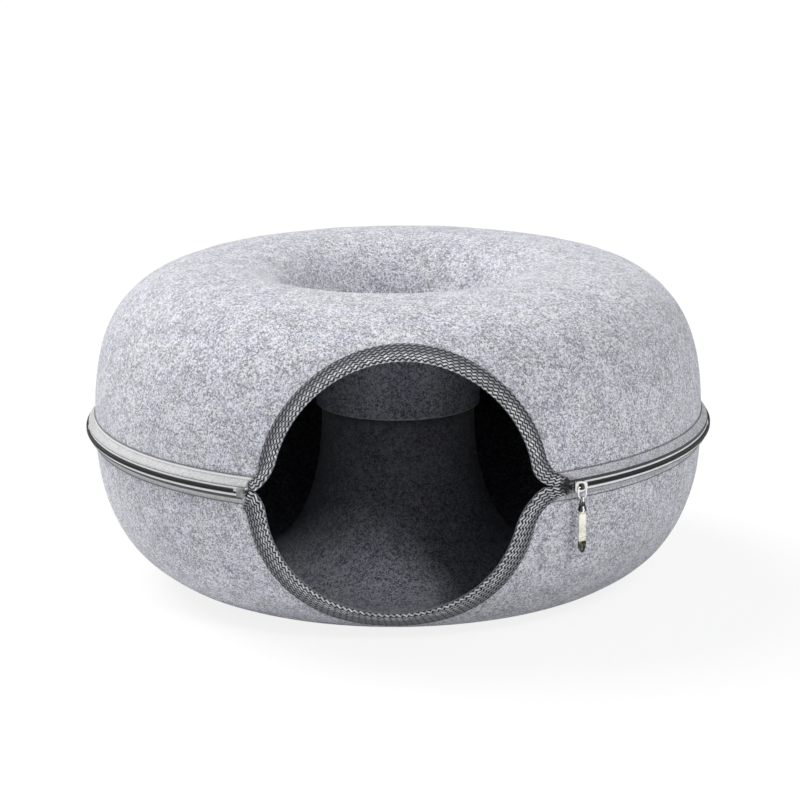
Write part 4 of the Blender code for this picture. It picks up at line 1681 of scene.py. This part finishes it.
floor_reach = 30.0
floor_bounce = (0.85, 0.85, 0.86)
floor_glow = 0.85
white = (1.0, 1.0, 1.0)
bm = bmesh.new()
bmesh.ops.create_grid(bm, x_segments=1, y_segments=1, size=floor_reach)
floor = object_from(bm, "floor")
floor_finish = bpy.data.materials.new("white floor")
floor_finish.use_nodes = True
tree = floor_finish.node_tree
tree.nodes.clear()
seen = seen_directly(tree)
shade = mixed(tree, seen, floor_bounce, white)
matt = put(tree, "ShaderNodeBsdfDiffuse", Color=shade)
glow = put(tree, "ShaderNodeEmission", Color=white)
look = put(tree, "ShaderNodeMixShader", Fac=maths(tree, "MULTIPLY", seen, floor_glow))
tree.links.new(matt.outputs[0], look.inputs[1])
tree.links.new(glow.outputs[0], look.inputs[2])
ending = tree.nodes.new("ShaderNodeOutputMaterial")
tree.links.new(look.outputs[0], ending.inputs["Surface"])
floor.data.materials.append(floor_finish)
print("floor, m across:", 2 * floor_reach)

# %% [markdown]
# ## The sky
#
# The sky is white to look at. As a light it is faint, and fainter near the horizon, because the
# light that reaches the inside of the tunnel must come in through the mouth.

# %% Sky
horizon_sky = (0.12, 0.12, 0.125)
high_sky = (0.34, 0.345, 0.36)
world = bpy.data.worlds.new("white room")
bpy.context.scene.world = world
world.use_nodes = True
tree = world.node_tree
background = tree.nodes["Background"]
direction = put(tree, "ShaderNodeTexCoord").outputs["Generated"]
rise = put(tree, "ShaderNodeSeparateXYZ", Vector=direction).outputs[2]
sky = mixed(tree, ranged(tree, rise, 0.15, 0.45), horizon_sky, high_sky)
plug(tree, background.inputs["Color"], mixed(tree, seen_directly(tree), sky, white))
print("world:", world.name)

# %% [markdown]
# ## Lamps
#
# Two suns give the felt its shape. A wide one stands behind the tunnel on the left and brightens the
# crest and the left shoulder. The other stands in front on the right, at half height, and lights
# the front wall, and through the mouth the left of the tunnel's floor, so that the right of the
# floor stays black. Suns are used because their light doesn't fall off over so small a thing.

# %% Lamps
def sun(name, azimuth, height, strength, spread):
    """A lamp far away. The azimuth runs from the front towards +X, in degrees, as the height does."""
    data = bpy.data.lights.new(name, "SUN")
    data.energy = strength
    data.angle = radians(spread)
    lamp = bpy.data.objects.new(name, data)
    bpy.context.collection.objects.link(lamp)
    side, up = radians(azimuth), radians(height)
    travel = Vector((-sin(side) * cos(up), cos(side) * cos(up), -sin(up)))
    lamp.rotation_euler = travel.to_track_quat("-Z", "Y").to_euler()


sun("back light", azimuth=-120, height=50, strength=2.7, spread=35)
sun("front light", azimuth=30, height=42, strength=1.12, spread=12)

# %% [markdown]
# ## The camera
#
# The photograph was taken with a long lens, from straight in front of the tunnel and a little above
# it. The angle, distance and lens come from the outline of the tunnel, the line of its zip and the
# far side of its centre hole, all fitted together.

# %% Camera
camera_rise = radians(14.43)
camera_distance = 2.5
camera_roll = radians(-0.44)
lens_length = 115.4
lens_shift = (0.0023, 0.0186)
look_along = Vector((0, cos(camera_rise), -sin(camera_rise)))
camera_up = Vector((0, sin(camera_rise), cos(camera_rise)))
camera_right = Vector((1, 0, 0))
axes = Matrix(
    (
        cos(camera_roll) * camera_right + sin(camera_roll) * camera_up,
        -sin(camera_roll) * camera_right + cos(camera_roll) * camera_up,
        -look_along,
    )
).transposed()
lens = bpy.data.cameras.new("camera")
lens.lens = lens_length
lens.sensor_width = 36.0
lens.sensor_fit = "HORIZONTAL"
lens.shift_x, lens.shift_y = lens_shift
lens.clip_start = 0.01
lens.clip_end = 100.0
camera = bpy.data.objects.new("camera", lens)
bpy.context.collection.objects.link(camera)
camera.matrix_world = Matrix.Translation(hub - camera_distance * look_along) @ axes.to_4x4()
bpy.context.scene.camera = camera
bpy.context.scene.view_settings.view_transform = "Standard"
print("camera, m:", [round(value, 3) for value in camera.matrix_world.translation])
